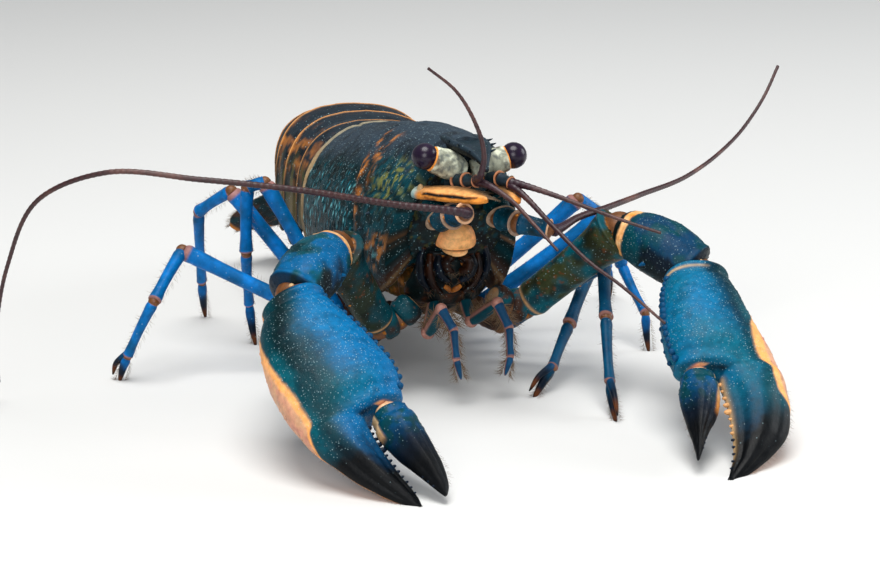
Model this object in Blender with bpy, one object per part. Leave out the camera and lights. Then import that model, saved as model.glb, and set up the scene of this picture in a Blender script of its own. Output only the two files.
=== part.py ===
"""Cherax crayfish, a still life-size model: the solids of its shell, claws, legs, feelers and tail.

Sizes are in millimetres up to the last step, where MM turns them into metres.
The animal faces -Y, its right side is -X, and it stands on the floor at z = 0.
Along its body, s is the distance behind the eyes and h the height over the line of the eyes.
"""

import math
import random

import bmesh
import bpy
import numpy as np

MM = 0.001
SHIFT = (-2.46, -18.84)
PITCH = math.radians(8)  # the body is held head-up,
YAW = math.radians(3.2)  # its tail a little to its left,
ROLL = math.radians(3.5)  # and its left side a little low
EYE_HEIGHT = 34.0
GAP = 0.3  # between neighbouring parts
RIGHT = -1
LEFT = 1
SEED = 7

# Carapace: dorsal s, dorsal h, lower edge s, lower edge h.
SHELL_LINES = (
    (1.0, 2.5, 9.2, -18.4),
    (4.0, 2.8, 11.4, -19.6),
    (8.0, 3.1, 14.2, -20.2),
    (14.0, 3.4, 18.2, -20.2),
    (20.0, 3.4, 23.0, -20.0),
    (27.0, 3.1, 28.4, -19.6),
    (34.0, 2.7, 33.8, -19.0),
    (40.0, 2.2, 38.4, -18.0),
)
SHELL_HALF_WIDTH = (
    (0, 6.3), (3, 7.5), (6, 9.0), (9, 10.0), (13, 10.9), (18, 11.7), (24, 12.3), (40, 12.5),
)
# Half of the carapace's section: share of the half width, share of the depth.
SHELL_SECTION = (
    (0.0, 0.0), (0.24, 0.014), (0.46, 0.06), (0.67, 0.145), (0.85, 0.27), (0.96, 0.42), (1.0, 0.58),
    (0.985, 0.76), (0.9, 0.93), (0.8, 1.0), (0.7, 0.95), (0.6, 0.86), (0.32, 0.83), (0.0, 0.82),
)
SHELL_RINGS = 30
FRONT_HOLLOW = 1.6
GROOVE_DEPTH = 0.5
GROOVE_WIDTH = 1.1
GROOVE_LINE = ((0.0, 20.4), (0.12, 19.6), (0.3, 17.2), (0.5, 14.9), (0.7, 13.4), (0.9, 12.6))
ROSTRUM = (
    (8.0, 2.4, 2.4), (2.6, 2.5, 2.9), (0.0, 2.1, 2.8), (-2.4, 1.7, 2.3), (-4.6, 0.9, 1.4),
    (-6.0, -0.1, 0.7), (-6.9, -1.1, 0.3),
)
ROSTRUM_DEPTH = ((-6.9, 0.6), (-5.0, 1.2), (0.0, 1.8), (8.0, 2.6))

# Abdomen joints: x, y, z of the back line, lean of the joint, half width, depth to the belly.
ABDOMEN_JOINTS = (
    (2.3, 40.2, 30.1, 13.0, 11.8, 14.2),
    (2.8, 43.6, 30.3, 9.0, 12.3, 14.6),
    (3.3, 49.6, 30.4, 5.0, 12.5, 14.6),
    (3.8, 55.8, 30.4, 8.0, 12.3, 13.8),
    (4.4, 62.0, 28.5, 24.0, 11.5, 12.2),
    (4.8, 67.2, 23.6, 43.0, 10.3, 10.2),
    (5.1, 70.8, 17.0, 57.0, 8.8, 7.8),
)
ABDOMEN_YAW = math.radians(4.5)
FLAP_DROP = (1.4, 4.6, 4.4, 4.2, 3.6, 2.4)
FLAP_SECTION = (
    (0.0, 0.0), (0.3, 0.02), (0.58, 0.09), (0.8, 0.23), (0.94, 0.44), (1.0, 0.7), (1.0, 0.92),
)

# Claw hand, from the wrist along its length: place, outer edge, inner edge, half thickness.
PALM = {
    RIGHT: (
        (0.0, 3.0, -3.0, 2.9), (2.2, 5.0, -3.6, 3.5), (5.0, 6.9, -4.3, 4.0), (9.0, 8.2, -5.3, 4.3),
        (13.0, 8.9, -6.2, 4.4), (17.0, 8.9, -6.6, 4.2), (19.6, 8.6, -6.0, 3.8), (21.0, 8.2, -4.9, 3.2),
    ),
    LEFT: (
        (0.0, 3.0, -3.0, 2.9), (2.2, 3.9, -4.6, 3.5), (5.0, 4.9, -5.5, 4.0), (9.0, 6.0, -5.9, 4.3),
        (13.0, 7.2, -6.0, 4.4), (16.0, 8.3, -5.6, 4.1), (18.2, 8.9, -4.8, 3.4),
    ),
}
FIXED_FINGER = {
    RIGHT: (
        (15.0, 8.0, 0.2, 3.2), (19.0, 8.6, -0.1, 3.2), (23.0, 7.8, 0.3, 2.9), (27.0, 6.2, 0.2, 2.4),
        (30.5, 4.4, -0.1, 1.8), (33.3, 2.5, -0.5, 1.15), (35.2, 1.0, -0.6, 0.7), (36.1, 0.2, -0.4, 0.35),
    ),
    LEFT: (
        (13.0, 6.8, 0.5, 3.2), (17.0, 8.4, 0.4, 3.2), (21.0, 9.4, 0.8, 3.0), (25.0, 9.3, 1.2, 2.6),
        (29.0, 8.0, 1.2, 2.0), (32.0, 5.6, 0.9, 1.4), (34.3, 3.0, 0.2, 0.8), (36.1, 0.5, -0.4, 0.35),
    ),
}
CLAW_FINGER = {
    RIGHT: (
        (21.6, -1.0, -4.2, 1.8), (23.0, -0.7, -5.0, 2.2), (25.5, -0.85, -5.3, 2.2),
        (28.5, -1.35, -5.5, 1.9), (31.5, -1.95, -5.5, 1.5), (34.0, -2.5, -5.0, 1.0),
        (35.6, -2.9, -4.3, 0.6), (36.4, -3.2, -3.7, 0.32),
    ),
    LEFT: (
        (18.8, -0.7, -3.9, 1.8), (20.2, -0.4, -4.5, 2.1), (22.5, -0.5, -4.75, 2.1),
        (25.5, -1.0, -4.8, 1.8), (28.5, -2.1, -4.6, 1.4), (30.8, -2.9, -4.3, 1.0),
        (32.4, -3.4, -4.15, 0.6), (33.3, -3.75, -4.1, 0.3),
    ),
}
BEADS = 14
BEAD_RADIUS = 0.62
TEETH = 9
TOOTH_RADIUS = 0.5

# Each chain runs from the body outwards. A side's numbers are x outward from the middle, y, z.
ARM_THICK = (2.1, 2.1, 2.5, 3.3)
ARM = {
    RIGHT: ((5.8, 5.6, 12.8), (8.2, 5.8, 10.6), (10.8, 6.2, 9.8), (18.6, 1.8, 22.4)),
    LEFT: ((5.8, 5.6, 12.4), (8.2, 5.9, 10.8), (10.9, 6.0, 10.3), (21.1, -3.1, 22.4)),
}
WRIST = {RIGHT: (27.7, -6.9, 19.2), LEFT: (27.7, -13.5, 18.4)}
CLAW_TIP = {RIGHT: (21.9, -36.9, 0.0), LEFT: (17.7, -42.7, 0.0)}
CLAW_ROLL = {RIGHT: math.radians(17), LEFT: math.radians(-4)}

LEG_ROOT = {"2": (14.4, 5.4), "3": (20.0, 5.6), "4": (25.6, 5.6), "5": (31.4, 5.4)}  # s, half spread
LEG_ROOT_HEIGHT = -21.8
LEG_UPPER = {
    "leg_2_R": ((10.4, 11.9, 6.0), (23.0, 5.4, 14.6)),
    "leg_2_L": ((10.0, 12.2, 5.8), (22.2, 3.8, 16.0)),
    "leg_3_R": ((10.2, 17.0, 5.6), (32.7, 26.6, 17.5)),
    "leg_3_L": ((9.8, 17.0, 5.4), (23.5, 10.5, 13.5)),
    "leg_4_R": ((10.4, 22.4, 5.6), (19.6, 28.8, 25.7)),
    "leg_4_L": ((9.8, 22.4, 5.2), (27.8, 15.9, 19.7)),
    "leg_5_R": ((10.2, 28.4, 5.4), (22.8, 34.8, 23.4)),
    "leg_5_L": ((9.8, 28.4, 5.0), (27.5, 24.0, 20.1)),
}
LEG_LOWER = {
    "leg_2_R": ((23.0, 5.4, 14.6), (25.4, -1.4, 10.6), (23.8, -8.4, 3.6), (22.0, -12.0, -0.4)),
    "leg_2_L": ((22.2, 3.8, 16.0), (18.4, -5.0, 10.6), (15.5, -12.5, 3.8), (14.2, -17.3, -0.4)),
    "leg_3_R": ((32.7, 26.6, 17.5), (38.2, 22.3, 11.8), (41.8, 24.2, 3.6), (42.8, 25.3, -0.4)),
    "leg_3_L": ((23.5, 10.5, 13.5), (16.8, 3.6, 7.4), (11.7, -2.0, 3.3), (8.1, -3.6, -0.4)),
    "leg_4_R": ((19.6, 28.8, 25.7), (22.0, 29.5, 25.0), (22.1, 30.4, 15.2), (20.2, 35.6, 5.8),
                (19.8, 34.0, -0.4)),
    "leg_4_L": ((27.8, 15.9, 19.7), (32.1, 18.1, 10.9), (32.3, 10.4, 5.5), (32.6, 9.6, -0.4)),
    "leg_5_R": ((22.8, 34.8, 23.4), (26.2, 40.2, 19.4), (23.6, 48.4, 6.2), (22.4, 51.0, -0.4)),
    "leg_5_L": ((27.5, 24.0, 20.1), (33.2, 28.6, 16.4), (38.4, 35.8, 5.4), (40.0, 38.0, -0.4)),
}
PINCER_LEGS = ("leg_2_R", "leg_2_L", "leg_3_R", "leg_3_L")
LEG_THICK = (1.75, 1.45, 1.15)  # half of it at the root, at the second joint and at the knee
SHORT_ARTICLE = 3.4  # one shorter than this has no stations of its own
LEG_THIN = (1.1, 0.95, 0.72, 0.28)  # at the knee, the next joints and the tip

ANTENNA = {
    RIGHT: ((-3.6, -8.0, 28.3), (-4.5, -9.1, 28.7), (-7.2, -9.0, 29.3), (-12.9, -7.9, 30.2),
            (-26.1, -6.0, 33.0), (-38.4, -3.0, 34.8), (-49.6, 1.5, 35.7), (-56.9, 7.0, 31.8),
            (-60.3, 13.0, 21.7), (-61.4, 18.0, 9.4), (-60.6, 21.5, 3.0)),
    LEFT: ((8.9, -8.1, 24.7), (10.6, -6.8, 24.7), (13.9, -4.0, 24.9), (20.8, 1.0, 24.6),
           (29.7, 8.0, 24.1), (43.0, 18.0, 23.8), (51.2, 24.0, 25.2), (58.1, 29.0, 27.7),
           (63.1, 32.0, 31.6), (66.4, 34.0, 35.6)),
}
ANTENNA_BASE = {
    RIGHT: ((-4.6, -0.8, 25.9), (-4.2, -4.4, 27.1), (-3.75, -7.4, 28.15)),
    LEFT: ((4.2, -1.2, 25.4), (5.2, -4.6, 25.3), (8.5, -7.8, 24.8)),
}
FEELER_BASE = {
    RIGHT: ((-2.0, -1.8, 31.2), (-1.2, -5.4, 31.8)),
    LEFT: ((2.6, -1.8, 31.2), (3.8, -5.4, 31.1)),
}
FEELER_UP = {
    RIGHT: ((-1.3, -5.0, 31.8), (-1.5, -7.2, 32.9), (-1.15, -7.7, 35.2), (-1.4, -7.5, 37.7),
            (-2.1, -7.0, 40.0), (-4.3, -5.6, 44.2), (-7.6, -4.0, 47.2)),
    LEFT: ((3.6, -4.9, 31.2), (4.9, -6.6, 31.0), (8.7, -10.0, 29.8), (12.1, -13.0, 28.5),
           (16.6, -17.0, 26.9), (19.3, -19.0, 26.0)),
}
FEELER_DOWN = {
    RIGHT: ((-1.2, -5.0, 31.7), (-0.4, -7.0, 31.6), (1.6, -10.0, 30.1), (3.4, -14.0, 27.4),
            (4.9, -18.0, 24.8)),
    LEFT: ((3.6, -4.9, 30.9), (4.3, -7.0, 30.2), (6.9, -12.0, 26.5), (9.8, -18.0, 22.5),
           (12.0, -21.0, 20.6), (16.1, -27.0, 16.2)),
}
SCALE_BLADE = {
    RIGHT: ((-7.0, 1.8, 29.3), (-1.5, -9.6, 30.2)),
    LEFT: ((6.8, 1.8, 29.3), (2.3, -9.6, 29.6)),
}
MOUTH_LEG = {
    RIGHT: ((-2.1, 7.4, 12.6), (-4.3, 4.4, 8.5), (-4.1, 0.0, 13.0), (-2.9, -1.5, 10.4),
            (-3.1, -3.0, 6.6), (-2.6, -3.5, 3.8)),
    LEFT: ((2.1, 7.4, 12.6), (2.3, 4.6, 9.4), (4.2, 0.0, 13.0), (5.3, -1.5, 9.8), (4.9, -3.0, 6.1),
           (3.9, -3.5, 3.6)),
}
FACE_OUT = 2.0  # where the feelers start, before the front of the shell
EYE_SPREAD = 6.3
EYE_RADIUS = 1.8
TAIL_ROOT = (5.2, 71.2, 16.2)
TAIL_TIP = (5.6, 80.6, 5.0)

COLOURS = {
    "shell": (0.03, 0.07, 0.09, 1.0),
    "claw": (0.02, 0.16, 0.32, 1.0),
    "leg": (0.03, 0.2, 0.42, 1.0),
    "feeler": (0.14, 0.05, 0.05, 1.0),
    "head": (0.3, 0.16, 0.07, 1.0),
    "eye": (0.02, 0.01, 0.03, 1.0),
}


def turned(pitch, yaw, roll):
    """The directions of a body held so: tailward, to its left, and up."""
    back = np.array((math.sin(yaw) * math.cos(pitch), math.cos(yaw) * math.cos(pitch), -math.sin(pitch)))
    level = np.array((math.cos(yaw), -math.sin(yaw), 0.0))
    up = np.cross(level, back)
    return back, level * math.cos(roll) - up * math.sin(roll), up * math.cos(roll) + level * math.sin(roll)


BACK, SIDE, UP = turned(PITCH, YAW, ROLL)


def body(s, x, h):
    """A point of the body in the model's frame."""
    return np.array((0, 0, EYE_HEIGHT)) + BACK * s + SIDE * x + UP * h


def table(rows, key):
    """The columns of a table at a key, eased from row to row."""
    rows = np.array(rows, float)
    if rows[0, 0] > rows[-1, 0]:
        rows = rows[::-1]
    keys = rows[:, 0]
    values = rows[:, 1:]
    slopes = np.gradient(values, keys, axis=0)
    key = min(max(key, keys[0]), keys[-1])
    i = min(int(np.searchsorted(keys, key, side="right")) - 1, len(keys) - 2)
    span = keys[i + 1] - keys[i]
    t = (key - keys[i]) / span
    ease = 3 * t * t - 2 * t ** 3
    start = t - 2 * t * t + t ** 3
    end = t ** 3 - t * t
    return (values[i] * (1 - ease) + values[i + 1] * ease
            + span * (slopes[i] * start + slopes[i + 1] * end))


def unit(vector):
    return np.array(vector, float) / np.linalg.norm(vector)


def new_object(name, points, faces):
    """A mesh object from points in millimetres, its faces turned outward."""
    mesh = bpy.data.meshes.new(name)
    placed = [((p[0] + SHIFT[0]) * MM, (p[1] + SHIFT[1]) * MM, max(p[2], 0.0) * MM) for p in points]
    mesh.from_pydata(placed, [], faces)
    work = bmesh.new()
    work.from_mesh(mesh)
    bmesh.ops.recalc_face_normals(work, faces=work.faces)
    work.to_mesh(mesh)
    work.free()
    mesh.polygons.foreach_set("use_smooth", [True] * len(mesh.polygons))
    made = bpy.data.objects.new(name, mesh)
    bpy.context.collection.objects.link(made)
    return made


def skin(name, rings, first_pole=None, last_pole=None):
    """One closed surface over rings of points, with a fan over each end."""
    count = len(rings[0])
    points = [p for ring in rings for p in ring]
    faces = []
    for i in range(len(rings) - 1):
        for k in range(count):
            after = (k + 1) % count
            faces.append((i * count + k, i * count + after,
                          (i + 1) * count + after, (i + 1) * count + k))
    points.append(np.mean(rings[0], axis=0) if first_pole is None else first_pole)
    points.append(np.mean(rings[-1], axis=0) if last_pole is None else last_pole)
    last = (len(rings) - 1) * count
    for k in range(count):
        after = (k + 1) % count
        faces.append((len(points) - 2, after, k))
        faces.append((len(points) - 1, last + k, last + after))
    return new_object(name, points, faces)


def oval(width, height, sides, square=2.0):
    """Half sizes to the points of an oval, squarer as the power grows."""
    points = []
    for k in range(sides):
        angle = 2 * math.pi * (k + 0.5) / sides
        c = math.cos(angle)
        s = math.sin(angle)
        points.append((width * math.copysign(abs(c) ** (2 / square), c),
                       height * math.copysign(abs(s) ** (2 / square), s)))
    return points


def smooth_path(points, count):
    """Points spread evenly along an eased line through a few points."""
    points = np.array(points, float)
    steps = np.linalg.norm(np.diff(points, axis=0), axis=1)
    keys = np.concatenate([[0], np.cumsum(steps)])
    rows = np.column_stack([keys, points])
    return [table(rows, keys[-1] * i / (count - 1)) for i in range(count)]


def sweep(name, path, sizes, sides, first_plane=None, last_plane=None, square=2.0):
    """A limb along a path. Sizes are half width across the bend and half height in it.

    Each ring lies in the plane that halves its bend, and an end's plane can be given.
    """
    path = np.array(path, float)
    middle = path - path.mean(axis=0)
    across = np.linalg.svd(middle)[2][2]
    steps = [unit(b - a) for a, b in zip(path[:-1], path[1:])]
    rings = []
    for i, point in enumerate(path):
        along = steps[max(i - 1, 0)]
        plane = unit(steps[max(i - 1, 0)] + steps[min(i, len(steps) - 1)])
        if i == 0 and first_plane is not None:
            plane = unit(first_plane)
        if i == len(path) - 1 and last_plane is not None:
            plane = unit(last_plane)
        side = unit(across - along * np.dot(across, along))
        lift = np.cross(along, side)
        ring = []
        for a, b in oval(sizes[i][0], sizes[i][1], sides, square):
            offset = side * a + lift * b
            ring.append(point + offset - along * np.dot(offset, plane) / np.dot(along, plane))
        rings.append(ring)
    return skin(name, rings)


def bend_room(chain, k, radius):
    """How far along its articles the slanted ring of joint k reaches."""
    if k == 0 or k == len(chain) - 1:
        return 0.0
    before = unit(np.subtract(chain[k], chain[k - 1]))
    after = unit(np.subtract(chain[k + 1], chain[k]))
    half_bend = math.acos(max(-1.0, min(1.0, float(np.dot(before, after))))) / 2
    return 1.25 * radius * math.tan(half_bend)


def limb_stations(chain, radii, flat=1.0):
    """Stations along jointed articles, each a little swollen near its far joint."""
    path = [np.array(chain[0], float)]
    sizes = [(radii[0], radii[0] * flat)]
    for k in range(len(chain) - 1):
        a = np.array(chain[k], float)
        b = np.array(chain[k + 1], float)
        near = radii[k]
        far = radii[k + 1]
        length = np.linalg.norm(b - a)
        for share, swell in ((0.16, 1.06), (0.5, 1.0), (0.86, 1.08), (1.0, 0.88)):
            if share < 1.0 and (length < SHORT_ARTICLE or share * length < bend_room(chain, k, near)
                                or (1 - share) * length < bend_room(chain, k + 1, far)):
                continue
            if k == len(chain) - 2 and share == 1.0:
                swell = 1.0
            radius = (near + (far - near) * share) * swell
            path.append(a + (b - a) * share)
            sizes.append((radius, radius * flat))
    return path, sizes


def joint_plane(before, joint, after):
    """The direction that halves a bend."""
    first = unit(np.subtract(joint, before))
    return unit(first + unit(np.subtract(after, joint)))


def sided(points, side):
    """Points given as outward distances, on the animal's side."""
    return [np.array((p[0] * side, p[1], p[2]), float) for p in points]


def fuse(name, pieces):
    """One closed body from overlapping pieces: a single union, and its largest surface."""
    if len(pieces) == 1:
        pieces[0].name = name
        return pieces[0]
    base = pieces[0]
    others = bpy.data.collections.new(name + "_pieces")
    bpy.context.scene.collection.children.link(others)
    for piece in pieces[1:]:
        bpy.context.collection.objects.unlink(piece)
        others.objects.link(piece)
    join = base.modifiers.new("join", "BOOLEAN")
    join.operation = "UNION"
    join.operand_type = "COLLECTION"
    join.collection = others
    join.solver = "MANIFOLD"
    bpy.context.view_layer.update()
    graph = bpy.context.evaluated_depsgraph_get()
    mesh = bpy.data.meshes.new_from_object(base.evaluated_get(graph))
    base.modifiers.clear()
    base.data = mesh
    base.name = name
    for piece in list(others.objects):
        bpy.data.objects.remove(piece)
    bpy.data.collections.remove(others)
    keep_largest(mesh)
    mesh.polygons.foreach_set("use_smooth", [True] * len(mesh.polygons))
    return base


def keep_largest(mesh):
    """Leaves only the closed surface that has the most faces."""
    work = bmesh.new()
    work.from_mesh(mesh)
    left = set(work.faces)
    groups = []
    while left:
        group = set()
        stack = [left.pop()]
        while stack:
            face = stack.pop()
            group.add(face)
            for edge in face.edges:
                for near in edge.link_faces:
                    if near in left:
                        left.remove(near)
                        stack.append(near)
        groups.append(group)
    groups.sort(key=len)
    for group in groups[:-1]:
        bmesh.ops.delete(work, geom=list(group), context="FACES")
    loose = [v for v in work.verts if not v.link_faces]
    bmesh.ops.delete(work, geom=loose, context="VERTS")
    work.to_mesh(mesh)
    work.free()


def bead(point, radius, stretch=(1.0, 1.0, 1.0)):
    """A small round grain."""
    rings = []
    for tilt in (-50, 0, 50):
        angle = math.radians(tilt)
        flat = math.cos(angle) * radius
        rings.append([
            np.array(point) + np.array((a * stretch[0], b * stretch[1],
                                        math.sin(angle) * radius * stretch[2]))
            for a, b in oval(flat, flat, 6)
        ])
    low = np.array(point) - np.array((0, 0, radius * stretch[2]))
    high = np.array(point) + np.array((0, 0, radius * stretch[2]))
    return skin("bead", rings, low, high)


def spine(root, tip, radius, sides=5):
    """A thorn with a sunk root."""
    root = np.array(root, float)
    tip = np.array(tip, float)
    return sweep("spine", [root, root + (tip - root) * 0.5, tip],
                 [(radius, radius), (radius * 0.66, radius * 0.66), (0.12, 0.12)], sides)


def shell_point(s_top, x_share, depth_share, dent=0.0):
    """A point of the carapace on the slanting section that starts at s_top."""
    top, low_s, low = table(SHELL_LINES, s_top)
    s = s_top + (low_s - s_top) * depth_share
    h = top + (low - top) * depth_share
    x = x_share * table(SHELL_HALF_WIDTH, s)[0]
    middle = top + (low - top) * 0.55
    reach = math.hypot(x, h - middle)
    keep = 1 - dent / reach if reach > 1 else 1
    return body(s, x * keep, middle + (h - middle) * keep)


def groove_dent(s_top, depth_share):
    """How far the neck groove sinks the shell here."""
    if depth_share > 0.95:
        return 0.0
    off = s_top - table(GROOVE_LINE, depth_share)[0]
    return GROOVE_DEPTH * math.exp(-(off / GROOVE_WIDTH) ** 2)


def shell_ring(s_top):
    right = [shell_point(s_top, -x, f, groove_dent(s_top, f) if i < 9 else 0.0)
             for i, (x, f) in enumerate(SHELL_SECTION)]
    left = [shell_point(s_top, x, f, groove_dent(s_top, f) if i < 9 else 0.0)
            for i, (x, f) in enumerate(SHELL_SECTION)]
    return right + left[-2:0:-1]


def carapace_body():
    first = SHELL_LINES[0][0]
    last = SHELL_LINES[-1][0]
    rings = [shell_ring(first + (last - first) * i / (SHELL_RINGS - 1)) for i in range(SHELL_RINGS)]
    top, low_s, low = table(SHELL_LINES, first)
    hollow = body(first + (low_s - first) * 0.5 + FRONT_HOLLOW, 0, top + (low - top) * 0.5)
    return skin("carapace", rings, hollow)


def rostrum():
    rings = []
    for i in range(9):
        s = ROSTRUM[0][0] + (ROSTRUM[-1][0] - ROSTRUM[0][0]) * i / 8
        top, half = table(ROSTRUM, s)
        depth = table(ROSTRUM_DEPTH, s)[0]
        rim = 0.35 * min(half, 1.5)
        outline = ((0, -rim * 0.6), (0.6, -rim * 0.3), (0.86, 0.0), (1.0, -depth * 0.35),
                   (0.75, -depth * 0.85), (0, -depth))
        right = [body(s, -x * half, top + h) for x, h in outline]
        left = [body(s, x * half, top + h) for x, h in outline]
        rings.append(right + left[-2:0:-1])
    return skin("rostrum", rings)


def rostrum_teeth():
    """Three small thorns along each rim of the rostrum, and one behind each eye."""
    made = []
    for side in (RIGHT, LEFT):
        for s in (0.6, -2.0, -4.2):
            top, half = table(ROSTRUM, s)
            made.append(spine(body(s + 0.5, side * (half - 0.5), top - 0.4),
                              body(s - 0.9, side * (half + 0.3), top + 0.1), 0.42))
        made.append(spine(body(6.4, side * 5.2, 2.2), body(3.2, side * 5.6, 3.2), 0.65))
    return made


def cheek_spines():
    """Thorns on the cheek, just behind the neck groove."""
    made = []
    for side in (RIGHT, LEFT):
        for s_top, share, depth in ((9.0, 0.985, 0.5), (10.6, 1.0, 0.6), (12.0, 0.99, 0.7)):
            root = shell_point(s_top, share * side, depth)
            centre = shell_point(s_top, 0, depth)
            out = unit(root - centre)
            made.append(spine(root - out * 0.5, root + out * 0.8 + np.array((0, -0.9, 0)), 0.5))
    return made


def carapace():
    return fuse("carapace", [carapace_body(), rostrum()] + rostrum_teeth() + cheek_spines())


def sternum():
    """The keel between the legs, wider at each pair of roots."""
    rings = []
    for i in range(14):
        s = 13.0 + 25.5 * i / 13
        half = 3.1 + 0.8 * math.cos((s - 13.5) * 2 * math.pi / 6)
        roof, low_s, edge = table(SHELL_LINES, s)
        top = roof + (edge - roof) * 0.83 - GAP * 1.2
        low = LEG_ROOT_HEIGHT - 0.6
        outline = ((half * 0.6, top), (half, top - 1.4), (half * 0.85, low + 0.8), (0, low),
                   (-half * 0.85, low + 0.8), (-half, top - 1.4), (-half * 0.6, top))
        rings.append([body(s, x, h) for x, h in outline])
    return skin("sternum", rings)


def head_point(x, share, out):
    """A point on the slanting front of the head, out being the distance before it."""
    first, top, low_s, low = SHELL_LINES[0]
    slope = unit((low_s - first, low - top))
    return body(first + (low_s - first) * share + slope[1] * out, x,
                top + (low - top) * share - slope[0] * out)


def head_forward():
    return unit(head_point(0, 0.5, 1.0) - head_point(0, 0.5, 0.0))


def face():
    """The plate between the cheeks that carries the feelers and the mouth."""
    rings = []
    for share, half in ((0.2, 4.2), (0.3, 5.4), (0.45, 6.4), (0.6, 6.9), (0.72, 6.7), (0.8, 5.6)):
        front = [head_point(half * math.cos(a) * 0.96, share, 0.5 + 1.0 * math.sin(a))
                 for a in np.linspace(0, math.pi, 9)]
        back = [head_point(-half * 0.9, share, GAP), head_point(half * 0.9, share, GAP)]
        rings.append(front + back)
    return skin("face", rings)


def mouth_shield():
    """The lip plate over the mouth, with the jaws under it."""
    made = []
    rings = []
    for share, half, out in ((0.5, 1.6, 1.7), (0.57, 3.0, 2.5), (0.66, 2.7, 2.7), (0.7, 1.6, 2.0)):
        rings.append([head_point(half * a, share, 0.9 + (out - 0.9) * max(b, -0.2))
                      for a, b in oval(1.0, 1.0, 10)])
    made.append(skin("shield", rings))
    for side in (RIGHT, LEFT):
        made.append(bead(head_point(side * 2.2, 0.76, 1.9), 1.5, (1.0, 0.7, 0.8)))
    return made


def head():
    return fuse("head", [face()] + mouth_shield())


def eye(name, side):
    centre = body(0, side * EYE_SPREAD, 0)
    root = body(1.2, side * 3.9, -1.2)
    stalk = sweep("stalk", [root + (centre - root) * t for t in (0.0, 0.4, 0.9)],
                  [(0.85, 0.85), (1.05, 1.05), (1.25, 1.25)], 8)
    rings = []
    for tilt in (-66, -40, -14, 14, 40, 66):
        angle = math.radians(tilt)
        flat = EYE_RADIUS * math.cos(angle)
        rings.append([centre + np.array((a, b, EYE_RADIUS * math.sin(angle))) for a, b in oval(flat, flat, 12)])
    ball = skin("ball", rings, centre - (0, 0, EYE_RADIUS), centre + (0, 0, EYE_RADIUS))
    return fuse(name, [ball, stalk])


def blade(name, root, tip, across, halves, thick):
    """A flat leaf from root to tip. Halves are its half widths on either side at even steps."""
    root = np.array(root, float)
    tip = np.array(tip, float)
    along = unit(tip - root)
    across = unit(np.array(across) - along * np.dot(across, along))
    lift = np.cross(across, along)
    rings = []
    for i, (inner, outer, rise) in enumerate(halves):
        share = i / (len(halves) - 1)
        centre = root + (tip - root) * share + lift * rise
        half = thick * (1 - 0.45 * share) / 2
        ring = []
        for x, z in ((-1.0, 0.0), (-0.8, 0.75), (0.0, 1.0), (0.8, 0.75), (1.0, 0.0), (0.8, -0.75),
                     (0.0, -1.0), (-0.8, -0.75)):
            reach = outer if x > 0 else inner
            ring.append(centre + across * x * reach + lift * z * half)
        rings.append(ring)
    return skin(name, rings)


def scale(name, side):
    """The leaf beside each antenna, thick and pointed on its outer edge."""
    root, tip = SCALE_BLADE[side]
    halves = ((0.9, 0.9, 0.0), (1.6, 1.2, 0.1), (2.1, 1.3, 0.15), (2.2, 1.3, 0.15), (2.0, 1.2, 0.1),
              (1.4, 0.9, 0.0), (0.4, 0.5, 0.0))
    return blade(name, root, tip, (side, 0.0, -0.35), halves, 0.95)


def antenna_base(name, side):
    chain = (head_point(side * 4.7, 0.4, FACE_OUT), *ANTENNA_BASE[side])
    path, sizes = limb_stations(chain, (1.75, 1.75, 1.5, 1.25))
    return sweep(name, path, sizes, 10, first_plane=head_forward())


def feeler(name, points, count, thick, thin, sides):
    path = smooth_path(points, count)
    sizes = []
    for i in range(count):
        radius = thin + (thick - thin) * (1 - i / (count - 1)) ** 1.3
        sizes.append((radius, radius))
    return sweep(name, path, sizes, sides)


def antennule(name, side):
    """The small feelers: a stout base and two whips on each side."""
    chain = (head_point(side * 2.2, 0.27, FACE_OUT), *FEELER_BASE[side])
    path, sizes = limb_stations(chain, (1.0, 1.0, 0.8))
    pieces = [sweep("base", path, sizes, 8, first_plane=head_forward())]
    pieces.append(feeler("up", FEELER_UP[side], 15, 0.42, 0.24, 5))
    pieces.append(feeler("down", FEELER_DOWN[side], 14, 0.42, 0.24, 5))
    return fuse(name, pieces)


def mouth_leg(name, side):
    path, sizes = limb_stations(MOUTH_LEG[side], (1.0, 1.15, 1.0, 0.8, 0.62, 0.34))
    return sweep(name, path, sizes, 8)


def arm(name, side):
    """The claw's upper arm, up to the elbow."""
    chain = sided(ARM[side], side)
    wrist = sided([WRIST[side]], side)[0]
    plane = joint_plane(chain[-2], chain[-1], wrist)
    chain[-1] = chain[-1] - plane * GAP * 0.55
    path, sizes = limb_stations(chain, ARM_THICK)
    return sweep(name, path, sizes, 12, last_plane=plane)


def claw_frame(side):
    """Wrist, and the hand's directions: along, outward and up from its back."""
    wrist = sided([WRIST[side]], side)[0]
    tip = sided([CLAW_TIP[side]], side)[0]
    along = unit(tip - wrist)
    level = unit(np.cross(along, (0, 0, 1))) * (1 if side == RIGHT else -1)
    up = np.cross(level, along) * (1 if side == LEFT else -1)
    if up[2] < 0:
        up = -up
    roll = CLAW_ROLL[side] if side == RIGHT else -CLAW_ROLL[side]
    outward = level * math.cos(roll) - up * math.sin(roll)
    up = up * math.cos(roll) + level * math.sin(roll)
    if outward[0] * side < 0:
        outward = -outward
    return wrist, along, outward, up


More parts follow.
